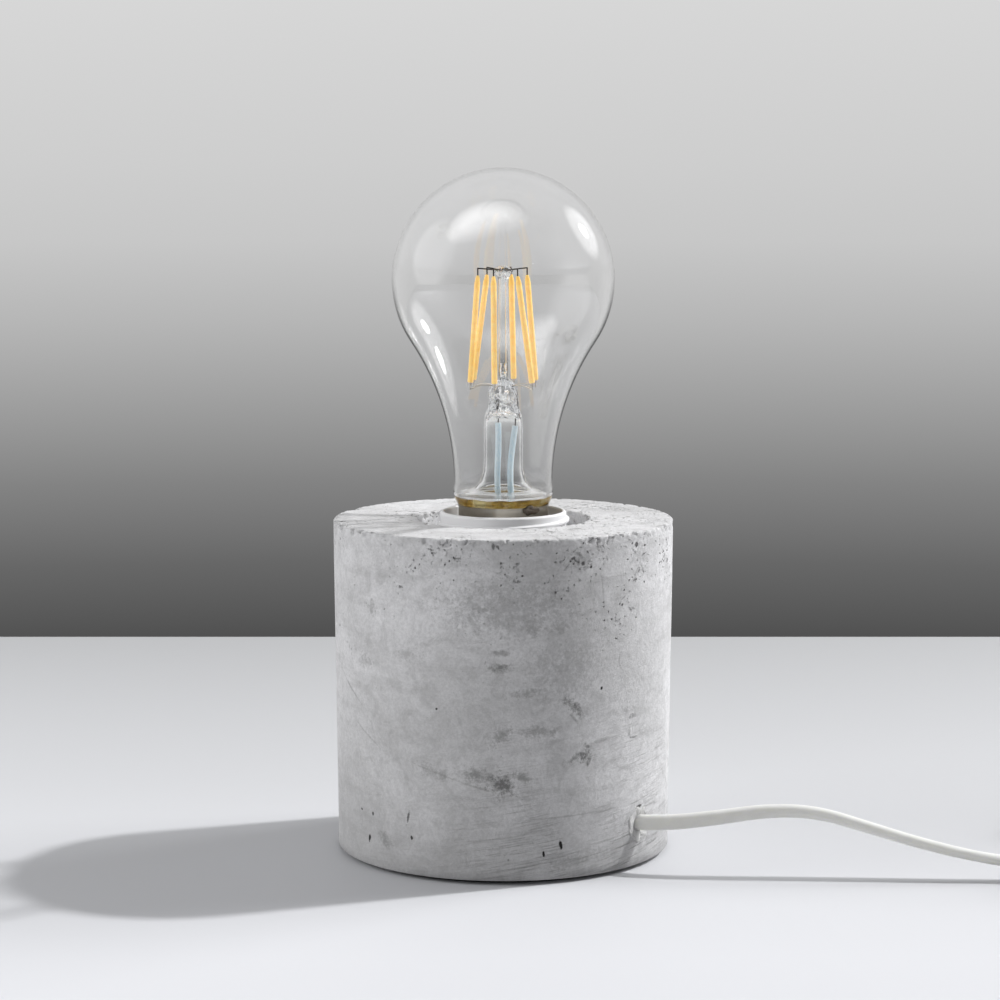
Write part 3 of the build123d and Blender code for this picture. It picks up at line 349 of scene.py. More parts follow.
# Grains of sand, drawn about twice as coarse as they are so that they show.
grain = add(tree, "TexNoise", {"Vector": place, "Scale": per_mm(0.9), "Detail": 4, "Roughness": 0.75})
grain_share = add(tree, "MapRange", {"Value": grain, 1: 0.33, 2: 0.66, 3: 0.86, 4: 1.07})
colour = add(tree, "Mix", {0: 1.0, 6: cloud_tone, 7: grain_share}, data_type="RGBA", blend_type="MULTIPLY")
# The skin is blotched every few millimetres, and wiping leaves faint level streaks.
blotch = add(
    tree, "TexNoise",
    {"Vector": place, "Scale": per_mm(7), "Detail": 8, "Roughness": 0.74, "Distortion": 1.0},
)
blotch_share = add(tree, "MapRange", {"Value": blotch, 1: 0.47, 2: 0.72, 4: 0.75})
level = add(tree, "Mapping", {"Vector": place, "Scale": (1, 1, 6)})
streak = add(tree, "TexNoise", {"Vector": level, "Scale": per_mm(24), "Detail": 6, "Roughness": 0.65})
streak_share = add(tree, "MapRange", {"Value": streak, 1: 0.52, 2: 0.78, 4: 0.45})
# Painted shade: the foot is drawn a little darker, where less light comes up from the table beside it.
painted_foot_shade = add(tree, "MapRange", {"Value": height, 1: 0.003, 2: 0.028, 3: 0.4, 4: 0.0})

# %% Concrete: marks by their angle and height
# A mark is (angle round the axis, height, half width, half height, slope, depth of tone), in degrees
# and millimetres. A ragged noise eats into its edge, so that no mark looks drawn.
RADIUS = 49.5
# The last two smudges are wide, faint patches that darken the middle of the front.
smudges = [
    (-91.0, 62.5, 3.6, 1.5, 0, 0.8), (-90.4, 66.6, 3.4, 0.9, 4, 0.6), (-66.2, 50.4, 4.8, 1.7, -42, 0.95),
    (-62.2, 36.7, 2.2, 3.2, -20, 0.95), (-66.2, 35.7, 3.8, 1.3, 20, 0.75), (-90.8, 42.8, 3.8, 2.2, 32, 0.6),
    (-79.5, 43.8, 6.2, 1.8, 6, 0.5), (-90.4, 29.0, 4.0, 3.6, -24, 1.0), (-98.6, 31.6, 5.5, 2.2, 0, 0.65),
    (-83.9, 31.1, 4.4, 1.6, -16, 0.6), (-82.2, 55.2, 5.6, 1.4, 8, 0.5), (-133.2, 9.6, 3.4, 2.2, -30, 0.5),
    (-80.5, 73.3, 3.0, 2.6, 0, 0.5), (-71.4, 73.3, 3.2, 2.0, 0, 0.35), (-96.8, 78.7, 5.0, 2.0, 0, 0.5),
    (-90.4, 82.0, 2.8, 2.8, 30, 0.45), (-122.7, 64.6, 5.0, 2.0, 0, 0.3), (-143.0, 60.9, 4.0, 2.0, 0, 0.35),
    (-138.8, 76.6, 3.0, 2.2, -40, 0.4), (-64.0, 92.0, 5.0, 3.0, 10, 0.4), (-39.0, 91.0, 4.0, 4.0, 0, 0.35),
    (-113.4, 31.8, 6.0, 2.0, -12, 0.35), (-64.7, 6.1, 9.0, 2.2, 10, 0.35), (-88.0, 79.0, 22.0, 8.0, 0, 0.35),
    (-70.0, 60.0, 12.0, 9.0, 0, 0.25),
]
crowds = [
    (-66.4, 92.0, 6.0, 5.0, 0, 0.6), (-40.7, 93.5, 7.0, 5.0, 0, 0.55), (-87.5, 89.0, 4.5, 4.5, 0, 0.5),
    (-21.0, 90.0, 6.0, 9.0, 0, 0.5), (-99.7, 97.0, 2.5, 2.0, 0, 0.55), (-93.3, 96.5, 2.5, 2.5, 0, 0.6),
    (-111.9, 94.3, 5.0, 3.0, 0, 0.4), (-59.8, 96.0, 5.0, 3.0, 0, 0.5), (-39.6, 86.0, 7.0, 5.0, 0, 0.5),
    (-72.7, 84.5, 5.0, 4.0, 0, 0.4), (-45.0, 77.0, 8.0, 8.0, 0, 0.35),
]
# Deep holes are only drawn as near-black spots, and their black is painted shade: no dent is cut for them.
shaded_hole_marks = [
    (-141.6, 9.2, 0.5, 1.2, -12, 1.0), (-122.0, 12.0, 0.4, 0.6, 0, 0.9), (-70.8, 11.1, 0.5, 1.4, 12, 1.0),
    (-76.7, 8.8, 0.4, 1.0, 10, 1.0), (-139.5, 16.7, 0.5, 0.6, 0, 0.8), (-146.0, 17.0, 0.4, 0.4, 0, 0.9),
    (-56.0, 55.1, 0.5, 0.5, 0, 1.0), (-123.3, 17.8, 0.4, 2.2, -12, 0.7), (-93.3, 96.6, 0.5, 1.0, 0, 0.7),
    (-37.6, 18.3, 1.6, 0.45, 12, 0.8), (-67.0, 92.8, 0.8, 0.5, 20, 0.8), (-41.0, 94.9, 0.8, 0.7, 0, 0.8),
    (-63.6, 91.0, 0.6, 0.7, 0, 0.8), (-112.3, 50.0, 0.4, 0.4, 0, 0.9), (-163.0, 68.6, 0.4, 0.4, 0, 0.9),
    (-47.6, 78.2, 0.4, 0.4, 0, 0.9),
]
scars = [
    (-55.2, 40.2, 4.2, 0.7, 8, 0.8), (-60.4, 34.6, 0.8, 1.7, -30, 0.9), (-42.0, 45.6, 1.6, 0.7, 10, 0.8),
    (-41.0, 39.5, 2.0, 0.6, 0, 0.8), (-43.0, 41.2, 0.7, 1.4, 0, 0.6), (-66.4, 47.2, 2.2, 0.6, -42, 0.6),
    (-65.0, 93.8, 1.8, 0.6, -30, 0.7), (-62.4, 90.0, 1.5, 0.6, 20, 0.7), (-69.0, 90.4, 1.3, 0.5, 60, 0.6),
    (-41.8, 93.2, 1.3, 0.6, -40, 0.7), (-37.0, 91.8, 1.2, 0.5, 30, 0.6), (-39.6, 87.6, 1.6, 0.7, 20, 0.6),
    (-88.6, 88.0, 1.6, 0.5, -35, 0.5), (-85.5, 90.0, 1.1, 0.5, -50, 0.5), (-99.7, 97.2, 1.4, 0.6, 0, 0.7),
]
scratches = [
    (-152.0, 51.5, 9.5, 0.4, -32, 0.6), (-143.0, 40.0, 9.0, 0.4, -28, 0.4),
    (-112.0, 31.5, 10.0, 0.4, -16, 0.5), (-98.0, 28.0, 6.0, 0.4, -14, 0.6),
    (-66.0, 19.3, 17.0, 0.35, 2, 0.45), (-56.0, 84.0, 0.4, 9.0, 6, 0.35),
]
print("placed marks:", sum(map(len, (smudges, crowds, shaded_hole_marks, scars, scratches))))

# %% Concrete: draw the marks
MARK_DEPTH = 8  # mm that a mark reaches to each side of the skin
MARK_EDGE = 1.2
NOISE_MEAN, TORN_MEAN = 0.5, 0.8  # taken into account so that a torn mark keeps its size
ragged = add(tree, "TexNoise", {"Vector": place, "Scale": per_mm(2.6), "Detail": 8, "Roughness": 0.8})
torn_edge = add(tree, "Math", {0: grain, 1: 0.6, 2: ragged}, operation="MULTIPLY_ADD")


def around(radius, angle, height):
    """A point at a radius, an angle in degrees and a height."""
    turn = math.radians(angle)
    return Vector((radius * math.cos(turn), radius * math.sin(turn), height))


def placed(tree, marks, torn_by, torn_share, softness):
    """The strongest of the placed marks at each point, with edges torn by a noise."""
    edge = MARK_EDGE + torn_share * (TORN_MEAN if torn_by == torn_edge else NOISE_MEAN)
    strongest = None
    for angle, height, wide, tall, slope, depth in marks:
        centre = around(RADIUS, angle, height) * MM
        turned_by = (math.radians(slope), 0, math.radians(angle))
        size = (MARK_DEPTH * MM, wide * MM, tall * MM)
        local = add(
            tree, "Mapping", {"Vector": place, "Location": centre, "Rotation": turned_by, "Scale": size},
            vector_type="TEXTURE",
        )
        far = add(tree, "VectorMath", {0: local}, operation="LENGTH").outputs["Value"]
        torn = add(tree, "Math", {0: torn_by, 1: torn_share, 2: far}, operation="MULTIPLY_ADD")
        mark = add(
            tree, "MapRange", {"Value": torn, 1: edge, 2: edge - softness, 4: depth},
            interpolation_type="SMOOTHSTEP",
        )
        if strongest is not None:
            mark = add(tree, "Math", {0: strongest, 1: mark}, operation="MAXIMUM")
        strongest = mark
    return strongest


smudge = placed(tree, smudges, torn_edge, 3.6, 1.2)
crowded = placed(tree, crowds, ragged, 1.0, 1.0)
painted_hole_shade = placed(tree, shaded_hole_marks, grain, 1.6, 0.6)
scar_with_highlight = placed(tree, scars, torn_edge, 2.2, 1.2)
scratch = placed(tree, scratches, torn_edge, 2.0, 1.2)
# Each of these marks is a row of broken flakes. Their pale tone is painted highlight, the light that raised
# flakes catch, over a real relief.
flakes = add(tree, "MapRange", {"Value": ragged, 1: 0.38, 2: 0.54})
scar_with_highlight = add(tree, "Math", {0: scar_with_highlight, 1: flakes}, operation="MULTIPLY")
# The sides that the picture doesn't show get smudges of the same kind from a noise.
other = add(tree, "TexNoise", {"Vector": place, "Scale": per_mm(13), "Detail": 8, "Roughness": 0.78})
other_share = add(tree, "MapRange", {"Value": other, 1: 0.63, 2: 0.85, 4: 0.55})
smudge = add(tree, "Math", {0: smudge, 1: other_share}, operation="MAXIMUM")
print("with marks:", len(tree.nodes), "nodes")

# %% Concrete: pits and trowel lines
# Each Voronoi cell holds one bubble, and its random colour decides how large it is. The ragged noise
# adds blowholes. Bubbles rise in the mould, so there are more of them near the top, and a noise
# gathers them in clusters.
wander = add(tree, "TexNoise", {"Vector": place, "Scale": per_mm(0.9), "Detail": 3})
sideways = (1.1 * MM, 1.1 * MM, 1.1 * MM)
bent = add(tree, "VectorMath", {0: wander.outputs["Color"], 1: sideways, 2: place}, operation="MULTIPLY_ADD")
cluster = add(tree, "TexNoise", {"Vector": place, "Scale": per_mm(15), "Detail": 4})
risen = add(tree, "MapRange", {"Value": height, 1: 0.045, 2: 0.097, 4: 0.3})
crowd = cluster
for more in (risen, crowded):
    crowd = add(tree, "Math", {0: crowd, 1: more}, operation="ADD")
crowd = add(tree, "MapRange", {"Value": crowd, 1: 0.5, 2: 0.95, 3: 0.14, 4: 1.0})
blown = add(tree, "Math", {0: crowd, 1: 0.2, 2: ragged}, operation="MULTIPLY_ADD")
pits = add(tree, "MapRange", {"Value": blown, 1: 0.76, 2: 0.88})
for spacing, radius, share in ((1.2, 0.5, 0.7), (2.2, 0.75, 0.6)):
    largest = radius / spacing
    cells = add(tree, "TexVoronoi", {"Vector": bent, "Scale": per_mm(spacing)})
    chance = add(tree, "SeparateColor", {0: cells.outputs["Color"]})
    reach = add(tree, "MapRange", {"Value": chance, 1: 1 - share, 2: 1.0, 4: largest})
    reach = add(tree, "Math", {0: reach, 1: crowd}, operation="MULTIPLY")
    deep = add(tree, "Math", {0: reach, 1: cells.outputs["Distance"]}, operation="SUBTRACT")
    pit = add(tree, "MapRange", {"Value": deep, 1: 0.0, 2: 0.7 * largest})
    pits = add(tree, "Math", {0: pits, 1: pit}, operation="MAXIMUM")
# Painted shade: only the bottom of a pit is drawn dark, for the shade inside it. Its sides are seen by their
# light.
painted_pit_shade = add(tree, "MapRange", {"Value": pits, 1: 0.3, 2: 0.65})
# Trowel lines are long, thin and almost level. They lie near the foot, most of them beside the lead.
scraped = add(
    tree, "Mapping", {"Vector": place, "Rotation": (0, -0.16, 0), "Scale": (1, 1, 1 / 42)},
    vector_type="TEXTURE",
)
lines = add(tree, "TexNoise", {"Vector": scraped, "Scale": per_mm(13), "Detail": 6, "Roughness": 0.8})
line = add(tree, "MapRange", {"Value": lines, 1: 0.53, 2: 0.72})
low_down = add(tree, "MapRange", {"Value": height, 1: 0.012, 2: 0.05, 3: 1.0, 4: 0.25})
scraped_here = add(tree, "MapRange", {"Value": cluster, 1: 0.36, 2: 0.56, 3: 0.2, 4: 1.0})
to_right = add(tree, "MapRange", {"Value": axes.outputs["X"], 1: -0.02, 2: 0.03, 3: 0.4, 4: 1.0})
for share in (low_down, scraped_here, to_right):
    line = add(tree, "Math", {0: line, 1: share}, operation="MULTIPLY")
print("with pits and lines:", len(tree.nodes), "nodes")

# %% Concrete: put the patterns together
# Painted light among these tones: the foot's, the pits' and the holes' darks are painted shade, and the pale
# flakes are painted highlight.
for share, shade in (
    (blotch_share, "#B4B4B5"), (streak_share, "#A6A6A6"), (painted_foot_shade, "#A9A9AA"), (smudge, "#808080"),
    (line, "#979797"), (scratch, "#949494"), (scar_with_highlight, "#F0F0F1"), (painted_pit_shade, "#666564"),
    (painted_hole_shade, "#2A2928"),
):
    colour = add(tree, "Mix", {0: share, 6: colour.outputs[2], 7: linear(shade)}, data_type="RGBA")
# Placed smudges, scratches and the painted shade of deep holes are tone alone, which keeps the relief's tree
# small enough.
relief = grain
for pattern, amount in ((cloud, 2.0), (blotch, 3.0), (ragged, 2.8), (pits, -9.0), (line, -2.2), (scar_with_highlight, 10.0)):
    relief = add(tree, "Math", {0: pattern, 1: amount, 2: relief}, operation="MULTIPLY_ADD")
bump = add(tree, "Bump", {"Height": relief, "Strength": 0.9, "Distance": 0.1 * MM})
feed(tree, shader, Base_Color=colour.outputs[2], Normal=bump)
print("concrete:", len(tree.nodes), "nodes")

# %% [markdown]
# ## The cylinder
# The body is turned from its outline, finely divided near the upper edges so that chips can be real
# shape: they break the upper edges, where the eye sees them against the wall behind. Noise moves
# the points near an edge down and back, and a boolean drills the hole for the lead.

# %% Turn the cylinder
BASE_Z, TOP_Z = 1.2, 98.3
BASE_RADIUS, TOP_RADIUS = 49.05, 50.0
RECESS_RADIUS, RECESS_FLOOR = 25.25, 50.0
POCKET_RADIUS, POCKET_CEILING = 28.0, 40.0
NIPPLE_HOLE = 5.3
EDGE = 0.35
outline = [
    (NIPPLE_HOLE, POCKET_CEILING), (POCKET_RADIUS, POCKET_CEILING), (POCKET_RADIUS, BASE_Z),
    (BASE_RADIUS - EDGE, BASE_Z), (BASE_RADIUS, BASE_Z + EDGE), (TOP_RADIUS, TOP_Z - 6),
    (TOP_RADIUS, TOP_Z - EDGE), (TOP_RADIUS - EDGE, TOP_Z), (TOP_RADIUS - 5, TOP_Z),
    (RECESS_RADIUS + 4, TOP_Z), (RECESS_RADIUS + EDGE, TOP_Z), (RECESS_RADIUS, TOP_Z - EDGE),
    (RECESS_RADIUS, TOP_Z - 5), (RECESS_RADIUS, RECESS_FLOOR), (NIPPLE_HOLE, RECESS_FLOOR),
]
fine = []
for start, end in zip(outline, outline[1:] + outline[:1]):
    if start[1] > TOP_Z - 6.5 and math.dist(start, end) < 7:
        spacing = 0.5
    else:
        spacing = 2.4 if end[0] > BASE_RADIUS - 0.5 or start[1] > TOP_Z - 1 else 4.0
    steps = math.ceil(math.dist(start, end) / spacing)
    fine += [Vector(start).lerp(Vector(end), step / steps) for step in range(steps)]
bm = turned(fine, steps=720)
print("cylinder:", len(bm.verts), "points")


# %% Chip its edges
def eased(value, low, high):
    """0 below low, 1 above high and a smooth rise between them."""
    share = min(max((value - low) / (high - low), 0), 1)
    return share * share * (3 - 2 * share)


RIM_WEAR, RECESS_WEAR, MOUTH_WEAR = 2.4, 2.2, 7.5  # how far from each edge the chips reach
HOLE_AZIMUTH = -36.8
HOLE_HEIGHT = 13.0
hole_mouth = around(RADIUS, HOLE_AZIMUTH, HOLE_HEIGHT)
for vert in bm.verts:
    spot = vert.co / MM
    radius = math.hypot(spot.x, spot.y)
    outwards = Vector((spot.x, spot.y, 0)).normalized()
    rough = noise.noise(spot * 0.21) + 0.7 * noise.noise(spot * 0.55) + 0.4 * noise.noise(spot * 1.3)
    chip = eased(rough, 0.28, 0.8)
    crumb = 0.25 * eased(noise.noise(spot * 1.1 + Vector((7, 3, 5))), 0.1, 0.5)
    nick = 0.9 * eased(noise.noise(spot * 0.5 + Vector((3, 9, 1))), 0.42, 0.58)
    outer = max(0, 1 - math.hypot(radius - TOP_RADIUS, spot.z - TOP_Z) / RIM_WEAR)
    inner = max(0, 1 - math.hypot(radius - RECESS_RADIUS, spot.z - TOP_Z) / RECESS_WEAR)
    mouth = max(0, 1 - (spot - hole_mouth).length / MOUTH_WEAR)
    move = outwards * ((inner - outer) * (0.9 * chip + crumb + nick))
    move.z -= max(outer, inner) * (chip + crumb + nick)
    move += outwards * (-0.7 * mouth * eased(rough, 0.0, 0.6))
    if radius > BASE_RADIUS - 1 or spot.z > TOP_Z - 1:
        wave = 0.1 * noise.noise(spot * 0.06) + 0.05 * noise.noise(spot * 0.3)
        move += outwards * min(wave, 0) if radius > BASE_RADIUS - 1 else Vector((0, 0, min(wave, 0)))
    vert.co += move * MM
body = piece("cast_body", bm, concrete, "lamp", "concrete_body", sharp=50)

# %% [markdown]
# The maker drills the hole for the lead after casting. A boolean takes a rod out of the body in the
# same way, and its result replaces the mesh, so that the finished body keeps no modifier.


# %% Drill the hole for the lead
def rod(bm, start, end, radius, end_radius=None, segments=12):
    """A round rod between two points in millimetres, tapered where its end has its own radius."""
    start, end = Vector(start), Vector(end)
    axis = end - start
    bmesh.ops.create_cone(
        bm, cap_ends=True, segments=segments, depth=axis.length * MM,
        radius1=radius * MM, radius2=(end_radius or radius) * MM,
        matrix=Matrix.Translation((start + end) / 2 * MM) @ axis.to_track_quat("Z", "Y").to_matrix().to_4x4(),
    )


HOLE_RADIUS = 4.0
drill_axis = around(1, HOLE_AZIMUTH, 0)
hole_level = Vector((0, 0, HOLE_HEIGHT))
bm = bmesh.new()
rod(bm, hole_level + drill_axis * 24, hole_level + drill_axis * 56, HOLE_RADIUS, segments=48)
drill = placed_mesh("drill", bm)
cut = body.modifiers.new("cord_hole", "BOOLEAN")
cut.object = drill
cut.solver = "EXACT"
bpy.context.view_layer.update()
drilled = bpy.data.meshes.new_from_object(body.evaluated_get(bpy.context.evaluated_depsgraph_get()))
body.modifiers.clear()
body.data = drilled
bpy.data.objects.remove(drill)
print("cast body:", len(drilled.polygons), "faces")

# %% [markdown]
# The hole was filled by hand with white plaster round the lead. It is a small ring that is turned
# about the world's axis, made lumpy, and then laid along the hole.

# %% Plaster round the lead
plaster, tree, shader = finish("hand_filled_plaster", "#D0D0CF", 0.85, Specular_IOR_Level=0.25)
mottled(tree, shader, 1.2, "#ACACAC", "#F0F0EF", detail=5, relief=(0.9, 0.7), Roughness=0.7)
plaster_outline = [
    (1.7, -5), (1.7, -1.5), (2.3, -1.0), (3.3, -0.7), (4.4, -0.42),
    (5.2, -0.5), (5.7, -1.2), (3.95, -1.8), (3.95, -5),
]
bm = turned(plaster_outline, steps=48)
bmesh.ops.subdivide_edges(bm, edges=bm.edges[:], cuts=1, use_grid_fill=True)
for vert in bm.verts:
    spot = vert.co / MM
    if spot.z > -1.5 and math.hypot(spot.x, spot.y) > 2.6:
        lump = 0.5 * noise.noise(spot * 0.45) + 0.3 * noise.noise(spot * 1.8)
        vert.co += Vector((spot.x * 0.12, spot.y * 0.12, 0.7)) * lump * MM
along_hole = drill_axis.to_track_quat("Z", "Y").to_matrix().to_4x4()
bmesh.ops.transform(bm, matrix=Matrix.Translation(hole_mouth * MM) @ along_hole, verts=bm.verts)
piece("plaster_ring", bm, plaster, "lamp", slot="concrete", sharp=60)

# %% [markdown]
# ## Pad under the base
# A thin foam disc keeps the concrete off the table. Only its line under the base shows, and its near-black
# colour is painted shade that makes that line as dark as a shadow gap.

# %% Foam pad
# Partly painted shade: the foam is drawn near-black so that the gap under the base reads dark.
foam, tree, shader = finish("near_black_foam_gap_shade", "#0F0F0F", 0.95, Specular_IOR_Level=0.2)
place = add(tree, "TexCoord").outputs["Object"]
cells = add(tree, "TexVoronoi", {"Vector": place, "Scale": per_mm(0.9)})
bump = add(tree, "Bump", {"Height": cells.outputs["Distance"], "Strength": 0.5, "Distance": 0.3 * MM})
feed(tree, shader, Normal=bump)
dressed("base_pad", foam)

# %% [markdown]
# ## Moulded plastics
# The lampholder, switch, plug, strap and cord stop are injection moulded. Moulded plastic has one
# colour through and through, and a skin copied from the tool: very slightly uneven, with a soft
# gloss. One recipe makes them all, from the colour, the gloss and the size of that unevenness.


# %% Recipe for moulded plastic
FLOW = 14  # mm, over which the melt's tone wanders


def moulded(name, colour, shade, roughness, grain, depth):
    """A moulded plastic: colour and a slightly darker shade, and a skin of that grain in mm."""
    material, tree, shader = finish(name, colour, roughness, IOR=1.5)
    mottled(tree, shader, FLOW, shade, colour, detail=3)
    place = add(tree, "TexCoord").outputs["Object"]
    skin = add(tree, "TexNoise", {"Vector": place, "Scale": per_mm(grain), "Detail": 2})
    gloss = add(tree, "MapRange", {"Value": skin, 3: roughness - 0.06, 4: roughness + 0.08})
    bump = add(tree, "Bump", {"Height": skin, "Strength": 0.2, "Distance": depth * MM})
    feed(tree, shader, Roughness=gloss, Normal=bump)
    return material


holder_white = moulded("white_pbt", "#F4F4F5", "#EBEBED", 0.38, 1.2, 0.08)
switch_white = moulded("white_abs", "#E1E1DE", "#D9D9D6", 0.32, 1.0, 0.06)
plug_white = moulded("white_pvc_moulding", "#DFDFDC", "#D5D5D1", 0.48, 1.6, 0.12)
strap_white = moulded("woven_strap_white", "#D4D4D0", "#C6C6C1", 0.8, 0.8, 0.25)
nylon = moulded("nylon_natural", "#D9D6CC", "#CDC9BD", 0.5, 1.2, 0.08)
pin_sleeve = moulded("black_pin_sleeve", "#1B1B1C", "#121213", 0.45, 0.8, 0.05)
brown_core = moulded("brown_core_pvc", "#5A3520", "#4A2A18", 0.45, 1.0, 0.05)
blue_core = moulded("blue_core_pvc", "#2F5C9E", "#274D86", 0.45, 1.0, 0.05)

# %% [markdown]
# ## Metals
# Nickel on the bulb's cap, zinc on the steel fasteners and plain brass in the contacts. Metals
# keep their colour in reflection, and a drawn or plated skin breaks the reflection up a little.


# %% Recipe for plated metal
def plated(name, colour, shade, roughness, grain):
    """A metal whose tone and gloss wander at the given grain in mm."""
    material, tree, shader = finish(name, colour, roughness, Metallic=1.0)
    patina = mottled(tree, shader, grain, shade, colour, detail=5)[0]
    gloss = add(tree, "MapRange", {"Value": patina, 3: roughness * 0.7, 4: roughness * 1.4})
    feed(tree, shader, Roughness=gloss)
    return material


nickel = plated("satin_nickel", "#D8D4CC", "#B9B3A8", 0.3, 5.0)
zinc = plated("zinc_plate", "#C9CBCC", "#AEB1B4", 0.38, 3.0)
brass = plated("drawn_brass", "#D9B45E", "#BF9747", 0.3, 4.0)
dark_wire = plated("oxidised_wire", "#5E5750", "#3A3632", 0.5, 1.0)

# %% [markdown]
# ## Lampholder
# The skirt of the holder has an outer thread for a shade ring: a plain wall turned first, and one
# ridge spun up it as a helix. Its plain rim shows above the concrete, so its edges are rounded.
# The pieces inside it keep the solids' shapes.


# %% Helper for threads
def thread(bm, root, crest, start, pitch, turns, foot, tip, steps=48):
    """Spins a ridge's section up the axis: foot and tip are its widths at root and crest."""
    section = [(root - 0.15, -foot / 2), (crest, -tip / 2), (crest, tip / 2), (root - 0.15, foot / 2)]
    verts = [bm.verts.new((radius * MM, 0, (start + height) * MM)) for radius, height in section]
    face = bm.faces.new(verts)
    count = round(steps * turns)
    bmesh.ops.spin(
        bm, geom=[face] + face.edges[:] + verts, cent=(0, 0, 0), axis=(0, 0, 1),
        dvec=(0, 0, pitch * turns / count * MM), angle=2 * math.pi * turns, steps=count,
    )
    bmesh.ops.recalc_face_normals(bm, faces=bm.faces)


# %% Skirt with its thread and rim
SKIRT_BASE = 71.2
RIM_TOP = 100.5
SKIRT_BORE, THREAD_ROOT, THREAD_CREST = 17.3, 18.6, 19.5
FLANGE_BORE, FLANGE_LOW, FLANGE_HIGH = 14.8, 91.0, 92.5
THREAD_PITCH = 3.2
THREAD_TURNS = 6.5
THREAD_END = 99.5
skirt_outline = [
    (SKIRT_BORE, SKIRT_BASE), (THREAD_CREST, SKIRT_BASE), (THREAD_CREST, SKIRT_BASE + 2.4),
    (THREAD_ROOT, SKIRT_BASE + 3.2), (THREAD_ROOT, RIM_TOP - 0.5), (18.1, RIM_TOP), (17.6, RIM_TOP),
    (SKIRT_BORE, RIM_TOP - 0.4), (SKIRT_BORE, FLANGE_HIGH), (FLANGE_BORE, FLANGE_HIGH),
    (FLANGE_BORE, FLANGE_LOW), (SKIRT_BORE, FLANGE_LOW),
]
bm = turned(skirt_outline, steps=128)
thread_start = THREAD_END - THREAD_PITCH * THREAD_TURNS
thread(bm, THREAD_ROOT, THREAD_CREST, thread_start, THREAD_PITCH, THREAD_TURNS, 1.9, 0.8)
piece("holder_skirt", bm, holder_white, "lamp", "lampholder_skirt", sharp=35, bevel=0.2)

# %% Inside the lampholder and the base
SCREW_EDGE = 0.15
dressed("lampholder_dome", holder_white, bevel=0.3)
dressed("lampholder_core", holder_white, bevel=0.2)
for node in ("screw_shell", "centre_contact", "side_contact", "terminal_blocks"):
    dressed(node, brass)
for node in (
    "terminal_screws", "dome_grub_screw", "nipple", "nipple_washer", "nipple_lock_washer", "nipple_nut",
):
    dressed(node, zinc, bevel=SCREW_EDGE)
dressed("inner_cord", sheath)
dressed("core_live", brown_core)
dressed("core_neutral", blue_core)
dressed("cord_stop", nylon, bevel=0.4)
dressed("cord_stop_screw", zinc, bevel=SCREW_EDGE)

# %% [markdown]
# ## Clear glass
# The bulb is blown from clear soda-lime glass, under a millimetre thick. It bends what is behind it
# only at its edges, and shows the bright panels and the table as reflections. A lamp's light has
# to reach the filaments and the table through it, so rays towards lamps meet a pale transparent
# shader in place of the glass, darker where they graze it, as a bulb's shadow is at its edges.


# %% Recipe for clear glass
def clear_glass(name, colour, roughness, bends, passes, **sockets):
    """Glass that lamps shine through: bends is its IOR, passes the light that one wall lets through."""
    sockets = {"Transmission_Weight": 1.0, **sockets}
    material, tree, shader = finish(name, colour, roughness, IOR=bends, **sockets)
    facing = add(tree, "LayerWeight", {"Blend": 0.5}).outputs["Facing"]
    rim = add(tree, "MapRange", {"Value": facing, 1: 0.5, 2: 1.0})
    held = add(tree, "Mix", {0: rim, 6: linear(passes), 7: linear("#5A5A5A")}, data_type="RGBA")
    through = add(tree, "BsdfTransparent", {"Color": held.outputs[2]})
    path = add(tree, "LightPath")
    surface = shader
    for ray in ("Is Shadow Ray", "Is Diffuse Ray"):
        surface = add(tree, "MixShader", {0: path.outputs[ray], 1: surface, 2: through})
    feed(tree, tree.nodes["Material Output"], Surface=surface)
    return material, tree, shader


blown_glass = clear_glass("blown_glass", "#FFFFFF", 0.0, 1.52, "#FAFAFA", Specular_IOR_Level=1.0)[0]
# The stem is thin drawn tube: it hardly bends the view, so only its edges show.
drawn_glass = clear_glass("drawn_stem_glass", "#FDFEFE", 0.0, 1.13, "#FCFCFC")[0]
# Where the stem is sealed to the neck the glass is milky with tiny bubbles.
sealed_glass = clear_glass("sealed_stem_glass", "#FFFFFF", 0.25, 1.25, "#F4F4F4", Transmission_Weight=0.87)[0]
# Hot glass that was pressed is full of fine folds, and breaks the view up.
pressed_glass, tree, shader = clear_glass("pressed_stem_glass", "#FDFEFE", 0.0, 1.4, "#FAFAFA")
place = add(tree, "TexCoord").outputs["Object"]
folds = add(
    tree, "TexNoise",
    {"Vector": place, "Scale": per_mm(1.7), "Detail": 1, "Roughness": 0.5, "Distortion": 0.8},
)
bump = add(tree, "Bump", {"Height": folds, "Strength": 0.8, "Distance": 0.8 * MM})
feed(tree, shader, Normal=bump)

# %% [markdown]
# The bulb's outline starts as one point at the top of the globe. Spinning a point about the globe's
# centre draws the globe's arc, spinning the last point about the shoulder's centre draws the
# shoulder, and a few extruded points make the bead and the cone that sits in the cap. The wall is
# drawn thinner than it is, so that the edges of the glass are as faint as in the picture.

# %% Bulb
GLOBE_RADIUS, GLOBE_Z = 32.6, 168.4
NECK_RADIUS, WAIST_Z = 14.5, 108.5
GLASS_WALL = 0.15
bead_and_cone = ((14.72, 107.2), (14.75, 106.3), (14.62, 105.6), (14.2, 104.9), (12.3, 101.7), (12.3, 96.5))
drop = GLOBE_Z - WAIST_Z
shoulder_radius = (NECK_RADIUS**2 + drop**2 - GLOBE_RADIUS**2) / (2 * (GLOBE_RADIUS - NECK_RADIUS))
shoulder_turn = math.asin(drop / (GLOBE_RADIUS + shoulder_radius))
globe_centre = (0, 0, GLOBE_Z * MM)
shoulder_centre = ((NECK_RADIUS + shoulder_radius) * MM, 0, WAIST_Z * MM)

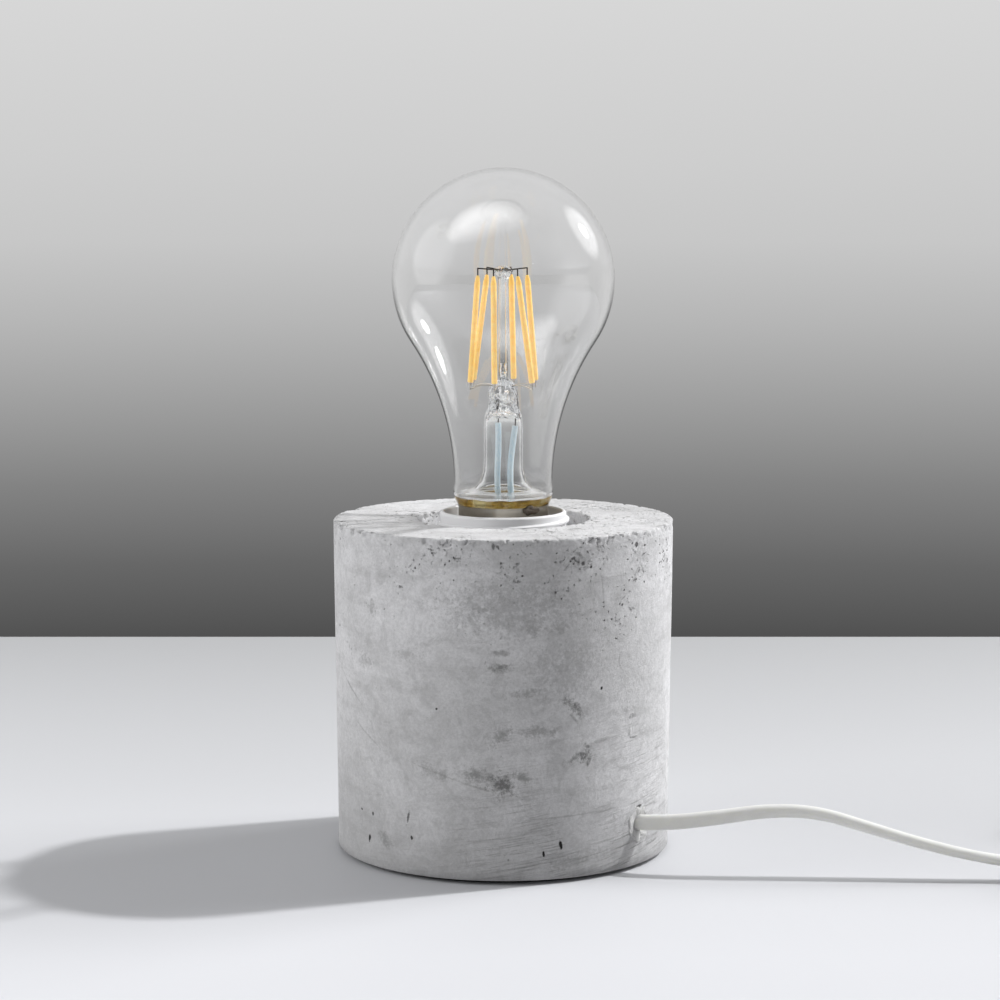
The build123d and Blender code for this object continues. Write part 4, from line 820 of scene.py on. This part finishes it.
bm = bmesh.new()
last = bm.verts.new((0, 0, (GLOBE_Z + GLOBE_RADIUS) * MM))
for centre, axis, angle, steps in (
    (globe_centre, (0, 1, 0), math.pi / 2 + shoulder_turn, 40),
    (shoulder_centre, (0, -1, 0), shoulder_turn, 20),
):
    arc = bmesh.ops.spin(bm, geom=[last], cent=centre, axis=axis, angle=angle, steps=steps)
    last = arc["geom_last"][0]
for radius, height in bead_and_cone:
    last = bmesh.ops.extrude_vert_indiv(bm, verts=[last])["verts"][0]
    last.co = (radius * MM, 0, height * MM)
spun(bm, bm.verts[:] + bm.edges[:], steps=128)
glass = piece("bulb_envelope", bm, blown_glass, "bulb", "bulb_glass", sharp=70)
glass_wall = glass.modifiers.new("wall", "SOLIDIFY")
glass_wall.thickness = GLASS_WALL * MM
glass_wall.offset = -1

# %% [markdown]
# ## Stem, press and sleeves
# Inside the neck a glass tube carries the wires. Its foot flares out to the neck and is sealed there,
# which shows as a pale band above the cement. Its top was squeezed flat while hot, so the press
# is lumpy, and a thin tube above it holds the top wires in a second bead. It is one turned mesh with
# three materials, so that no wall stands between the tube and the press.

# %% Stem
FLARE = (103.0, 106.2)
PRESS = (128.4, 139.8)
BEAD = (168.8, 173.0)
LUMPS = ((134, 5.5), (171, 2.4))  # middle and half height of the lumpy places
stem_outline = [
    (12.7, 103.6), (13.3, 104.6), (13.2, 105.4), (11.2, 106.1), (8.6, 107.2), (6.9, 109.2), (6.0, 112.0),
    (5.8, 115.0), (5.8, 126.8), (5.6, 128.2), (5.0, 129.8), (4.5, 131.5), (4.3, 133.5), (4.3, 135.6),
    (3.8, 137.4), (2.6, 138.6), (1.4, 139.8), (1.4, 168.6), (2.1, 169.5), (2.5, 170.6), (2.2, 171.7),
    (1.2, 172.3), (0, 172.4), (0, 170.6), (0.9, 169.8), (0.9, 131.0), (1.4, 129.8), (3.2, 128.6),
    (4.6, 127.2), (4.9, 125.5), (4.9, 112.4), (5.8, 108.8), (7.8, 106.4), (10.6, 105.1), (12.1, 104.2),
]
bm = turned(stem_outline, steps=64)
bmesh.ops.subdivide_edges(bm, edges=bm.edges[:], cuts=2, use_grid_fill=True)
for vert in bm.verts:
    spot = vert.co / MM
    lump = sum(max(0, 1 - abs(spot.z - middle) / half) for middle, half in LUMPS)
    outwards = Vector((spot.x, spot.y, 0)).normalized()
    swell = 0.6 * noise.noise(spot * 0.55) + 0.45 * noise.noise(spot * 1.2)
    vert.co += outwards * (lump * swell * MM)
for face in bm.faces:
    middle = face.calc_center_median().z / MM
    for index, (low, high) in ((1, PRESS), (1, BEAD), (2, FLARE)):
        if low < middle < high:
            face.material_index = index
stem = piece("glass_stem", bm, drawn_glass, "bulb", "bulb_stem", sharp=60)
for other_glass in (pressed_glass, sealed_glass):
    stem.data.materials.append(other_glass)

# %% [markdown]
# Two wires run up the stem in pale blue sleeves of glass fibre. A sleeve lets light through, so it is
# as bright on its shaded side as on the lit one. Hand-bent wires are soft curves, so each is a curve
# that is made a mesh.


# %% Lead sleeves and lead wires
def tube(bm, route, radius):
    """Adds a smooth round tube along a few points in millimetres, from a curve made into a mesh."""
    helper, curve = smooth_curve("tube", route, radius)[:2]
    curve.bevel_resolution = 3
    mesh = bpy.data.meshes.new_from_object(helper)
    bm.from_mesh(mesh)
    bpy.data.objects.remove(helper)
    bpy.data.curves.remove(curve)
    bpy.data.meshes.remove(mesh)


def strung(name, bm, material, node):
    """Makes rods and tubes a piece of the bulb, with their normals outwards."""
    bmesh.ops.recalc_face_normals(bm, faces=bm.faces)
    piece(name, bm, material, "bulb", node, sharp=50)


SLEEVE_RADIUS = 0.9
WIRE_RADIUS = 0.2
WIRE_END = 87.0
sleeve, tree, shader = finish(
    "glass_fibre_sleeve", "#D3E6F4", 0.5,
    Subsurface_Weight=1.0, Subsurface_Radius=(0.003, 0.003, 0.003), Subsurface_Scale=1.0,
)
mottled(tree, shader, 0.8, "#BAD6EC", "#E6F2FA", detail=2)
sleeve_routes = (
    [(-1.9, 0, 87.3), (-1.5, -0.2, 100), (-1.8, -0.3, 112), (-1.3, 0, 120), (-1.5, 0, 126.6)],
    [(2.0, 0, 87.3), (2.6, -0.3, 100), (1.9, -0.4, 112), (2.6, -0.2, 119), (3.5, 0, 125.6)],
)
wire_tops = (Vector((-1.4, 0, 133.0)), Vector((3.6, 0, 136.0)))
bm = bmesh.new()
for route in sleeve_routes:
    tube(bm, route, SLEEVE_RADIUS)
strung("lead_sleeves", bm, sleeve, "bulb_lead_sleeves")
bm = bmesh.new()
for route, top in zip(sleeve_routes, wire_tops):
    halfway = Vector(route[-1]).lerp(top, 0.5) + Vector((0.2, 0, 0))
    tube(bm, [route[-1], halfway, top], WIRE_RADIUS)
    rod(bm, route[0], (route[0][0], 0, WIRE_END), WIRE_RADIUS)
strung("lead_wires", bm, dark_wire, "bulb_lead_wires")

# %% [markdown]
# ## Filaments
# Each filament is a thin strip of light-emitting chips in yellow phosphor silicone, so it looks like
# a warm yellow rod with a metal foot at each end. The bulb is off, so its faint emission is painted
# glow that lifts the yellow. Six of them lean in towards the top. They are bent into place by hand,
# so each has its own angle at the foot and at the top.

# %% Filaments
# Painted glow: the bulb is off, and the emission only brightens the yellow.
phosphor, tree, shader = finish(
    "phosphor_silicone_painted_glow", "#F7CC6A", 0.4, Emission_Strength=0.42,
    Subsurface_Weight=0.5, Subsurface_Radius=(0.0012, 0.0007, 0.0002), Subsurface_Scale=1.0,
)
tone = mottled(tree, shader, 1.6, "#F3BE55", "#FBDD92", detail=2)[1]
feed(tree, shader, Emission_Color=tone)

FILAMENT_RADIUS = 0.85
FILAMENT_TIP = 0.45
FOOT_RADIUS, FOOT_Z = 10.6, 138.6
HEAD_RADIUS, HEAD_Z = 7.6, 169.6
foot_angles = (-155, -104, -38, 26, 73, 146)
head_angles = (-168, -112, -57, 23, 72, 129)
feet = [around(FOOT_RADIUS, angle, FOOT_Z) for angle in foot_angles]
heads = [around(HEAD_RADIUS, angle, HEAD_Z) for angle in head_angles]
bm = bmesh.new()
for foot, head in zip(feet, heads):
    taper = foot.lerp(head, 0.93)
    rod(bm, foot, taper, FILAMENT_RADIUS, segments=16)
    rod(bm, taper, head, FILAMENT_RADIUS, end_radius=FILAMENT_TIP, segments=16)
bmesh.ops.remove_doubles(bm, verts=bm.verts, dist=1e-6)
inside = [face for face in bm.faces if all(len(edge.link_faces) > 2 for edge in face.edges)]
bmesh.ops.delete(bm, geom=inside, context="FACES")
ends = [edge for edge in bm.edges if any(len(face.verts) > 4 for face in edge.link_faces)]
bmesh.ops.bevel(bm, geom=ends, offset=0.3 * MM, segments=3, profile=0.5, affect="EDGES", material=-1)
bmesh.ops.recalc_face_normals(bm, faces=bm.faces)
piece("filaments", bm, phosphor, "bulb", "bulb_filaments", sharp=60)

# %% Wires of the filaments
# A corner of a wire is a point given twice, which keeps the spline from rounding it.
bm = bmesh.new()
for head, angle in zip(heads, head_angles):
    knee = around(HEAD_RADIUS, angle, 171.7)
    tube(bm, [head - Vector((0, 0, 0.3)), knee, knee, around(1.9, angle, 171.2)], WIRE_RADIUS)
strung("top_wires", bm, dark_wire, "bulb_top_wires")
bm = bmesh.new()
for foot, angle in zip(feet, foot_angles):
    knee = around(FOOT_RADIUS + 0.1, angle, 136.6)
    tube(bm, [foot, knee, knee, around(6.8, angle, 138.0), around(3.2, angle, 137.4)], WIRE_RADIUS)
    rod(bm, foot - Vector((0, 0, 0.9)), foot + Vector((0, 0, 0.2)), FILAMENT_TIP)
strung("foot_wires", bm, nickel, "bulb_foot_wires")

# %% [markdown]
# ## Cap, cement and driver
# The cap is drawn from thin nickelled sheet with a rolled thread. An amber cement holds the glass in
# it and shows as a ring above it. The cement is a clear resin, so the far side of the ring shows
# through the near side. A lump of solder joins a wire to the cap's edge.

# %% Threaded cap
CAP_ROOT, CAP_CREST = 12.5, 13.2
CAP_PITCH = 3.63
cap_outline = [
    (11.6, 80.8), (CAP_ROOT, 81.7), (CAP_ROOT, 96.0), (13.05, 97.0), (CAP_CREST, 97.6), (CAP_CREST, 101.6),
    (13.45, 102.5), (13.15, 102.5), (12.8, 101.6), (12.8, 97.4), (12.2, 96.2), (12.2, 82.2), (11.6, 81.6),
]
bm = turned(cap_outline, steps=96)
thread(bm, CAP_ROOT, CAP_CREST, 83.6, CAP_PITCH, 3.0, 2.6, 0.9)
piece("screw_cap", bm, nickel, "bulb", "bulb_cap", sharp=50)

# %% Cement
cement, tree, shader = finish("amber_resin", "#CDB055", 0.12, IOR=1.45, Transmission_Weight=0.7)
place = add(tree, "TexCoord").outputs["Object"]
pool = add(tree, "TexNoise", {"Vector": place, "Scale": per_mm(5), "Detail": 5, "Distortion": 1.0})
pool_tone = add(tree, "ValToRGB", {0: pool})
for stop, position, shade in zip(pool_tone.color_ramp.elements, (0.33, 0.7), ("#8A6A22", "#F4E6AE")):
    stop.position = position
    stop.color = linear(shade)
pool_tone.color_ramp.elements.new(0.48).color = linear("#D0AC4C")
bump = add(tree, "Bump", {"Height": pool, "Strength": 0.4, "Distance": 0.4 * MM})
feed(tree, shader, Base_Color=pool_tone, Normal=bump)
CEMENT_EDGE = 104.0  # above it the resin rose unevenly
cement_outline = [
    (12.75, 97.4), (12.75, 101.5), (13.1, 102.55), (13.5, 102.6), (13.85, 103.3),
    (14.3, 104.3), (14.35, 104.75), (14.2, 104.85), (12.36, 101.75), (12.36, 97.4),
]
bm = turned(cement_outline, steps=96)
for vert in bm.verts:
    if vert.co.z > CEMENT_EDGE * MM:
        vert.co.z += 0.35 * noise.noise(vert.co / MM * 0.35) * MM
piece("cement_ring", bm, cement, "bulb", "bulb_cement", sharp=60)

# %% Solder
SOLDER_AZIMUTH = -54
SOLDER_SIZE = (0.9 * MM, 2.4 * MM, 1.35 * MM)
solder = plated("dull_solder", "#8E857B", "#4A423B", 0.4, 1.2)
bm = bmesh.new()
bmesh.ops.create_icosphere(bm, subdivisions=4, radius=1)
for vert in bm.verts:
    vert.co *= 1 + 0.5 * noise.noise(vert.co * 1.5) + 0.2 * noise.noise(vert.co * 4)
bmesh.ops.scale(bm, vec=SOLDER_SIZE, verts=bm.verts)
solder_place = Matrix.Translation(around(13.35, SOLDER_AZIMUTH, 101.9) * MM)
solder_turn = Matrix.Rotation(math.radians(SOLDER_AZIMUTH), 4, "Z")
bmesh.ops.transform(bm, matrix=solder_place @ solder_turn, verts=bm.verts)
piece("solder_joint", bm, solder, "bulb", slot="nickel", sharp=60)

# %% Foot of the cap and driver board
# The solid's cap is plain, and the rolled thread's root is narrower, so the board is drawn in to fit.
BOARD_ROOM = 11.9
insulator = moulded("black_glass_insulator", "#17171A", "#0E0E10", 0.2, 2.0, 0.05)
dressed("bulb_cap_insulator", insulator, bevel=0.2)
dressed("bulb_eyelet", nickel)
board = moulded("green_circuit_board", "#2E6B45", "#255839", 0.4, 1.0, 0.05)
driver = dressed("bulb_driver", board, bevel=0.2)
board_reach = max(vert.co.xy.length for vert in driver.data.vertices) / MM
board_fit = BOARD_ROOM / board_reach
driver.data.transform(Matrix.Diagonal((board_fit, board_fit, 1, 1)))
print("driver board drawn in from", round(board_reach, 2), "mm")

# %% [markdown]
# ## Switch, tie and plug on the lead
# The switch's two halves meet on the lead's axis, and the rocker shows in the cover. These keep
# the solids' shapes, with merged triangles and moulded edges.

# %% Switch, tie and plug
dressed("switch_base", switch_white, bevel=0.5)
dressed("switch_cover", switch_white, bevel=0.35)
dressed("switch_rocker", switch_white, bevel=0.5)
dressed("switch_screws", zinc, bevel=SCREW_EDGE)
dressed("switch_terminals", brass, bevel=SCREW_EDGE)
dressed("switch_cores", blue_core)
dressed("cord_tie", strap_white, bevel=0.2)
dressed("plug_body", plug_white, bevel=0.6, sharp=28)
dressed("plug_pins", nickel)
dressed("plug_sleeves", pin_sleeve)

# %% The plug's solids
plug_nodes = ("plug_body", "plug_pins", "plug_sleeves")

# %% [markdown]
# ## Table, wall and light
# The lamp stands on a white table in front of a grey wall. One hard lamp from the right and behind
# draws the long shadow and the bright top, a softbox beside it lights the right-hand side, and a
# large soft panel on the left lifts that side. The table looks white to the camera and in
# reflections, but sends less light back up, so that the front of the concrete stays in shade.


# %% Table
def seen_rays(tree):
    """1 for the camera's rays and those that metal and glass pass on, 0 for rays that only light."""
    path = add(tree, "LightPath")
    seen = path.outputs["Is Camera Ray"]
    for ray in ("Is Glossy Ray", "Is Transmission Ray"):
        seen = add(tree, "Math", {0: seen, 1: path.outputs[ray]}, operation="MAXIMUM")
    return seen


TABLE_FRONT = -0.12
TABLE_BACK = 0.362
TABLE_REACH = 2.6
table_white, tree, shader = finish("white_table", "#E6E6E8", 0.6, Specular_IOR_Level=0.2)
place = add(tree, "TexCoord").outputs["Object"]
depth = add(tree, "SeparateXYZ", {0: place}).outputs["Y"]
# Painted shade: the table is drawn darker towards the back, where the light falls off with distance.
painted_falloff = add(tree, "MapRange", {"Value": depth, 1: TABLE_FRONT, 2: TABLE_BACK})
tone = add(tree, "ValToRGB", {0: painted_falloff})
tone.color_ramp.elements[0].color = linear("#D6D7DB")
tone.color_ramp.elements[1].color = linear("#AAABAD")
tone.color_ramp.elements.new(0.42).color = linear("#C3C4C7")
tone = add(tree, "Mix", {0: seen_rays(tree), 6: linear("#AEAEB0"), 7: tone}, data_type="RGBA")
feed(tree, shader, Base_Color=tone.outputs[2])
bm = bmesh.new()
bmesh.ops.create_grid(bm, x_segments=1, y_segments=1, size=1)
bmesh.ops.scale(bm, vec=(TABLE_REACH, (TABLE_BACK + TABLE_REACH) / 2, 1), verts=bm.verts)
bmesh.ops.translate(bm, vec=(0, (TABLE_BACK - TABLE_REACH) / 2, 0), verts=bm.verts)
table = placed_mesh("table", bm, table_white)
print("table reaches back to", TABLE_BACK, "m")

# %% [markdown]
# The wall is the world's own colour, so it never stands in another view's way. Behind the lamp it
# darkens towards the table. To the sides the studio is pale, which gives the glass its light edges,
# and overhead a panel shows as a soft patch near the top of the bulb. Only rays that are seen meet
# these colours. Everything else is lit by one even grey.

# %% Wall and soft light of the room
ROOM_LIGHT = 0.31
world = bpy.data.worlds.new("room")
bpy.context.scene.world = world
world.use_nodes = True
tree = world.node_tree
background = tree.nodes["Background"]
background.inputs["Color"].default_value = linear("#FFFFFF")
background.inputs["Strength"].default_value = ROOM_LIGHT
direction = add(tree, "TexCoord").outputs["Generated"]
parts = add(tree, "SeparateXYZ", {0: direction})
rise = add(tree, "MapRange", {"Value": parts.outputs["Z"], 1: -0.17, 2: 0.06})
wall_tone = add(tree, "ValToRGB", {0: rise})
ramp = wall_tone.color_ramp
ramp.elements[0].color = linear("#505050")
ramp.elements[1].color = linear("#D7D7D7")
for position, shade in (
    (0.117, "#676767"), (0.243, "#838383"), (0.37, "#9F9F9F"),
    (0.496, "#B6B6B6"), (0.62, "#C7C7C7"), (0.745, "#CECECE"),
):
    ramp.elements.new(position).color = linear(shade)
aside = add(tree, "MapRange", {"Value": parts.outputs["Y"], 1: 0.93, 2: 0.8})
room_tone = add(tree, "Mix", {0: aside, 6: wall_tone, 7: linear("#D9D9D9")}, data_type="RGBA").outputs[2]
behind = add(tree, "MapRange", {"Value": parts.outputs["Y"], 1: -0.3, 2: -0.7})
room_tone = add(tree, "Mix", {0: behind, 6: room_tone, 7: linear("#707070")}, data_type="RGBA").outputs[2]
print("room: even light", ROOM_LIGHT)

# %% Panels that glass and metal reflect
# Each way points at a panel. The overhead one is wide, so its direction is squeezed from the side.
PANEL_WAY = (-0.2, -0.36, 0.911)
BOX_WAY = (0.792, 0.401, 0.461)
LEFT_WAY = (-0.931, -0.1, 0.35)
wide = add(tree, "VectorMath", {0: direction, 1: (0.55, 1.0, 1.0)}, operation="MULTIPLY")
wide = add(tree, "VectorMath", {0: wide}, operation="NORMALIZE")
near_panel = add(tree, "VectorMath", {0: wide, 1: PANEL_WAY}, operation="DOT_PRODUCT").outputs["Value"]
glow = add(tree, "MapRange", {"Value": near_panel, 1: 0.91, 2: 0.985, 3: 1.0, 4: 6.0})
for way, inner, outer, strength in (
    (BOX_WAY, 0.985, 0.945, 2.7), (BOX_WAY, 0.9992, 0.9962, 20.0), (LEFT_WAY, 0.93, 0.86, 1.0),
):
    near = add(tree, "VectorMath", {0: direction, 1: way}, operation="DOT_PRODUCT").outputs["Value"]
    box = add(
        tree, "MapRange", {"Value": near, 1: outer, 2: inner, 4: strength},
        interpolation_type="SMOOTHSTEP",
    )
    glow = add(tree, "Math", {0: glow, 1: box}, operation="ADD")
wall = add(tree, "Background", {"Color": room_tone, "Strength": glow})
room = add(tree, "MixShader", {0: seen_rays(tree), 1: background, 2: wall})
feed(tree, tree.nodes["World Output"], Surface=room)
print("room:", len(tree.nodes), "nodes")

# %% [markdown]
# The hard lamp is a sun of a few degrees, which gives the shadow its slightly soft edge. The two
# panels are flat area lamps that face the lamp. Glass and metal see the world's panels instead of
# these, so the lamps are hidden from reflections.

# %% Lamps
LAMP_AIM = Vector((0, 0, 0.1))
KEY_AZIMUTH = 20.0
KEY_ELEVATION = math.radians(44.8)


def lamp(name, kind, place, power, **settings):
    """A lamp that faces the middle of the object and that glass and metal don't reflect."""
    data = bpy.data.lights.new(name, kind)
    data.energy = power
    for setting, value in settings.items():
        setattr(data, setting, value)
    obj = bpy.data.objects.new(name, data)
    obj.location = place
    obj.rotation_euler = (Vector(place) - LAMP_AIM).to_track_quat("Z", "Y").to_euler()
    obj.visible_glossy = False
    obj.visible_transmission = False
    shown.link(obj)
    print("lamp:", name, power)
    return obj


key_place = LAMP_AIM + around(math.cos(KEY_ELEVATION), KEY_AZIMUTH, math.sin(KEY_ELEVATION))
key = lamp("key", "SUN", key_place, 2.4, angle=math.radians(3.0))
lamp("left_panel", "AREA", (-1.0, -0.09, 0.42), 5.8, shape="RECTANGLE", size=0.6, size_y=0.8)
softbox = lamp("softbox", "AREA", (0.95, 0.42, 0.62), 8.4, shape="RECTANGLE", size=0.5, size_y=0.6)

# The plug lies just outside the picture, so the lamps on the right leave out its shadow.
no_shadow = bpy.data.collections.new("outside_the_picture")
for node in plug_nodes:
    no_shadow.objects.link(bpy.data.objects[node + "_dressed"])
for member in no_shadow.collection_objects:
    member.light_linking.link_state = "EXCLUDE"
for right_lamp in (key, softbox):
    right_lamp.light_linking.blocker_collection = no_shadow

bpy.context.scene.view_settings.view_transform = "Standard"
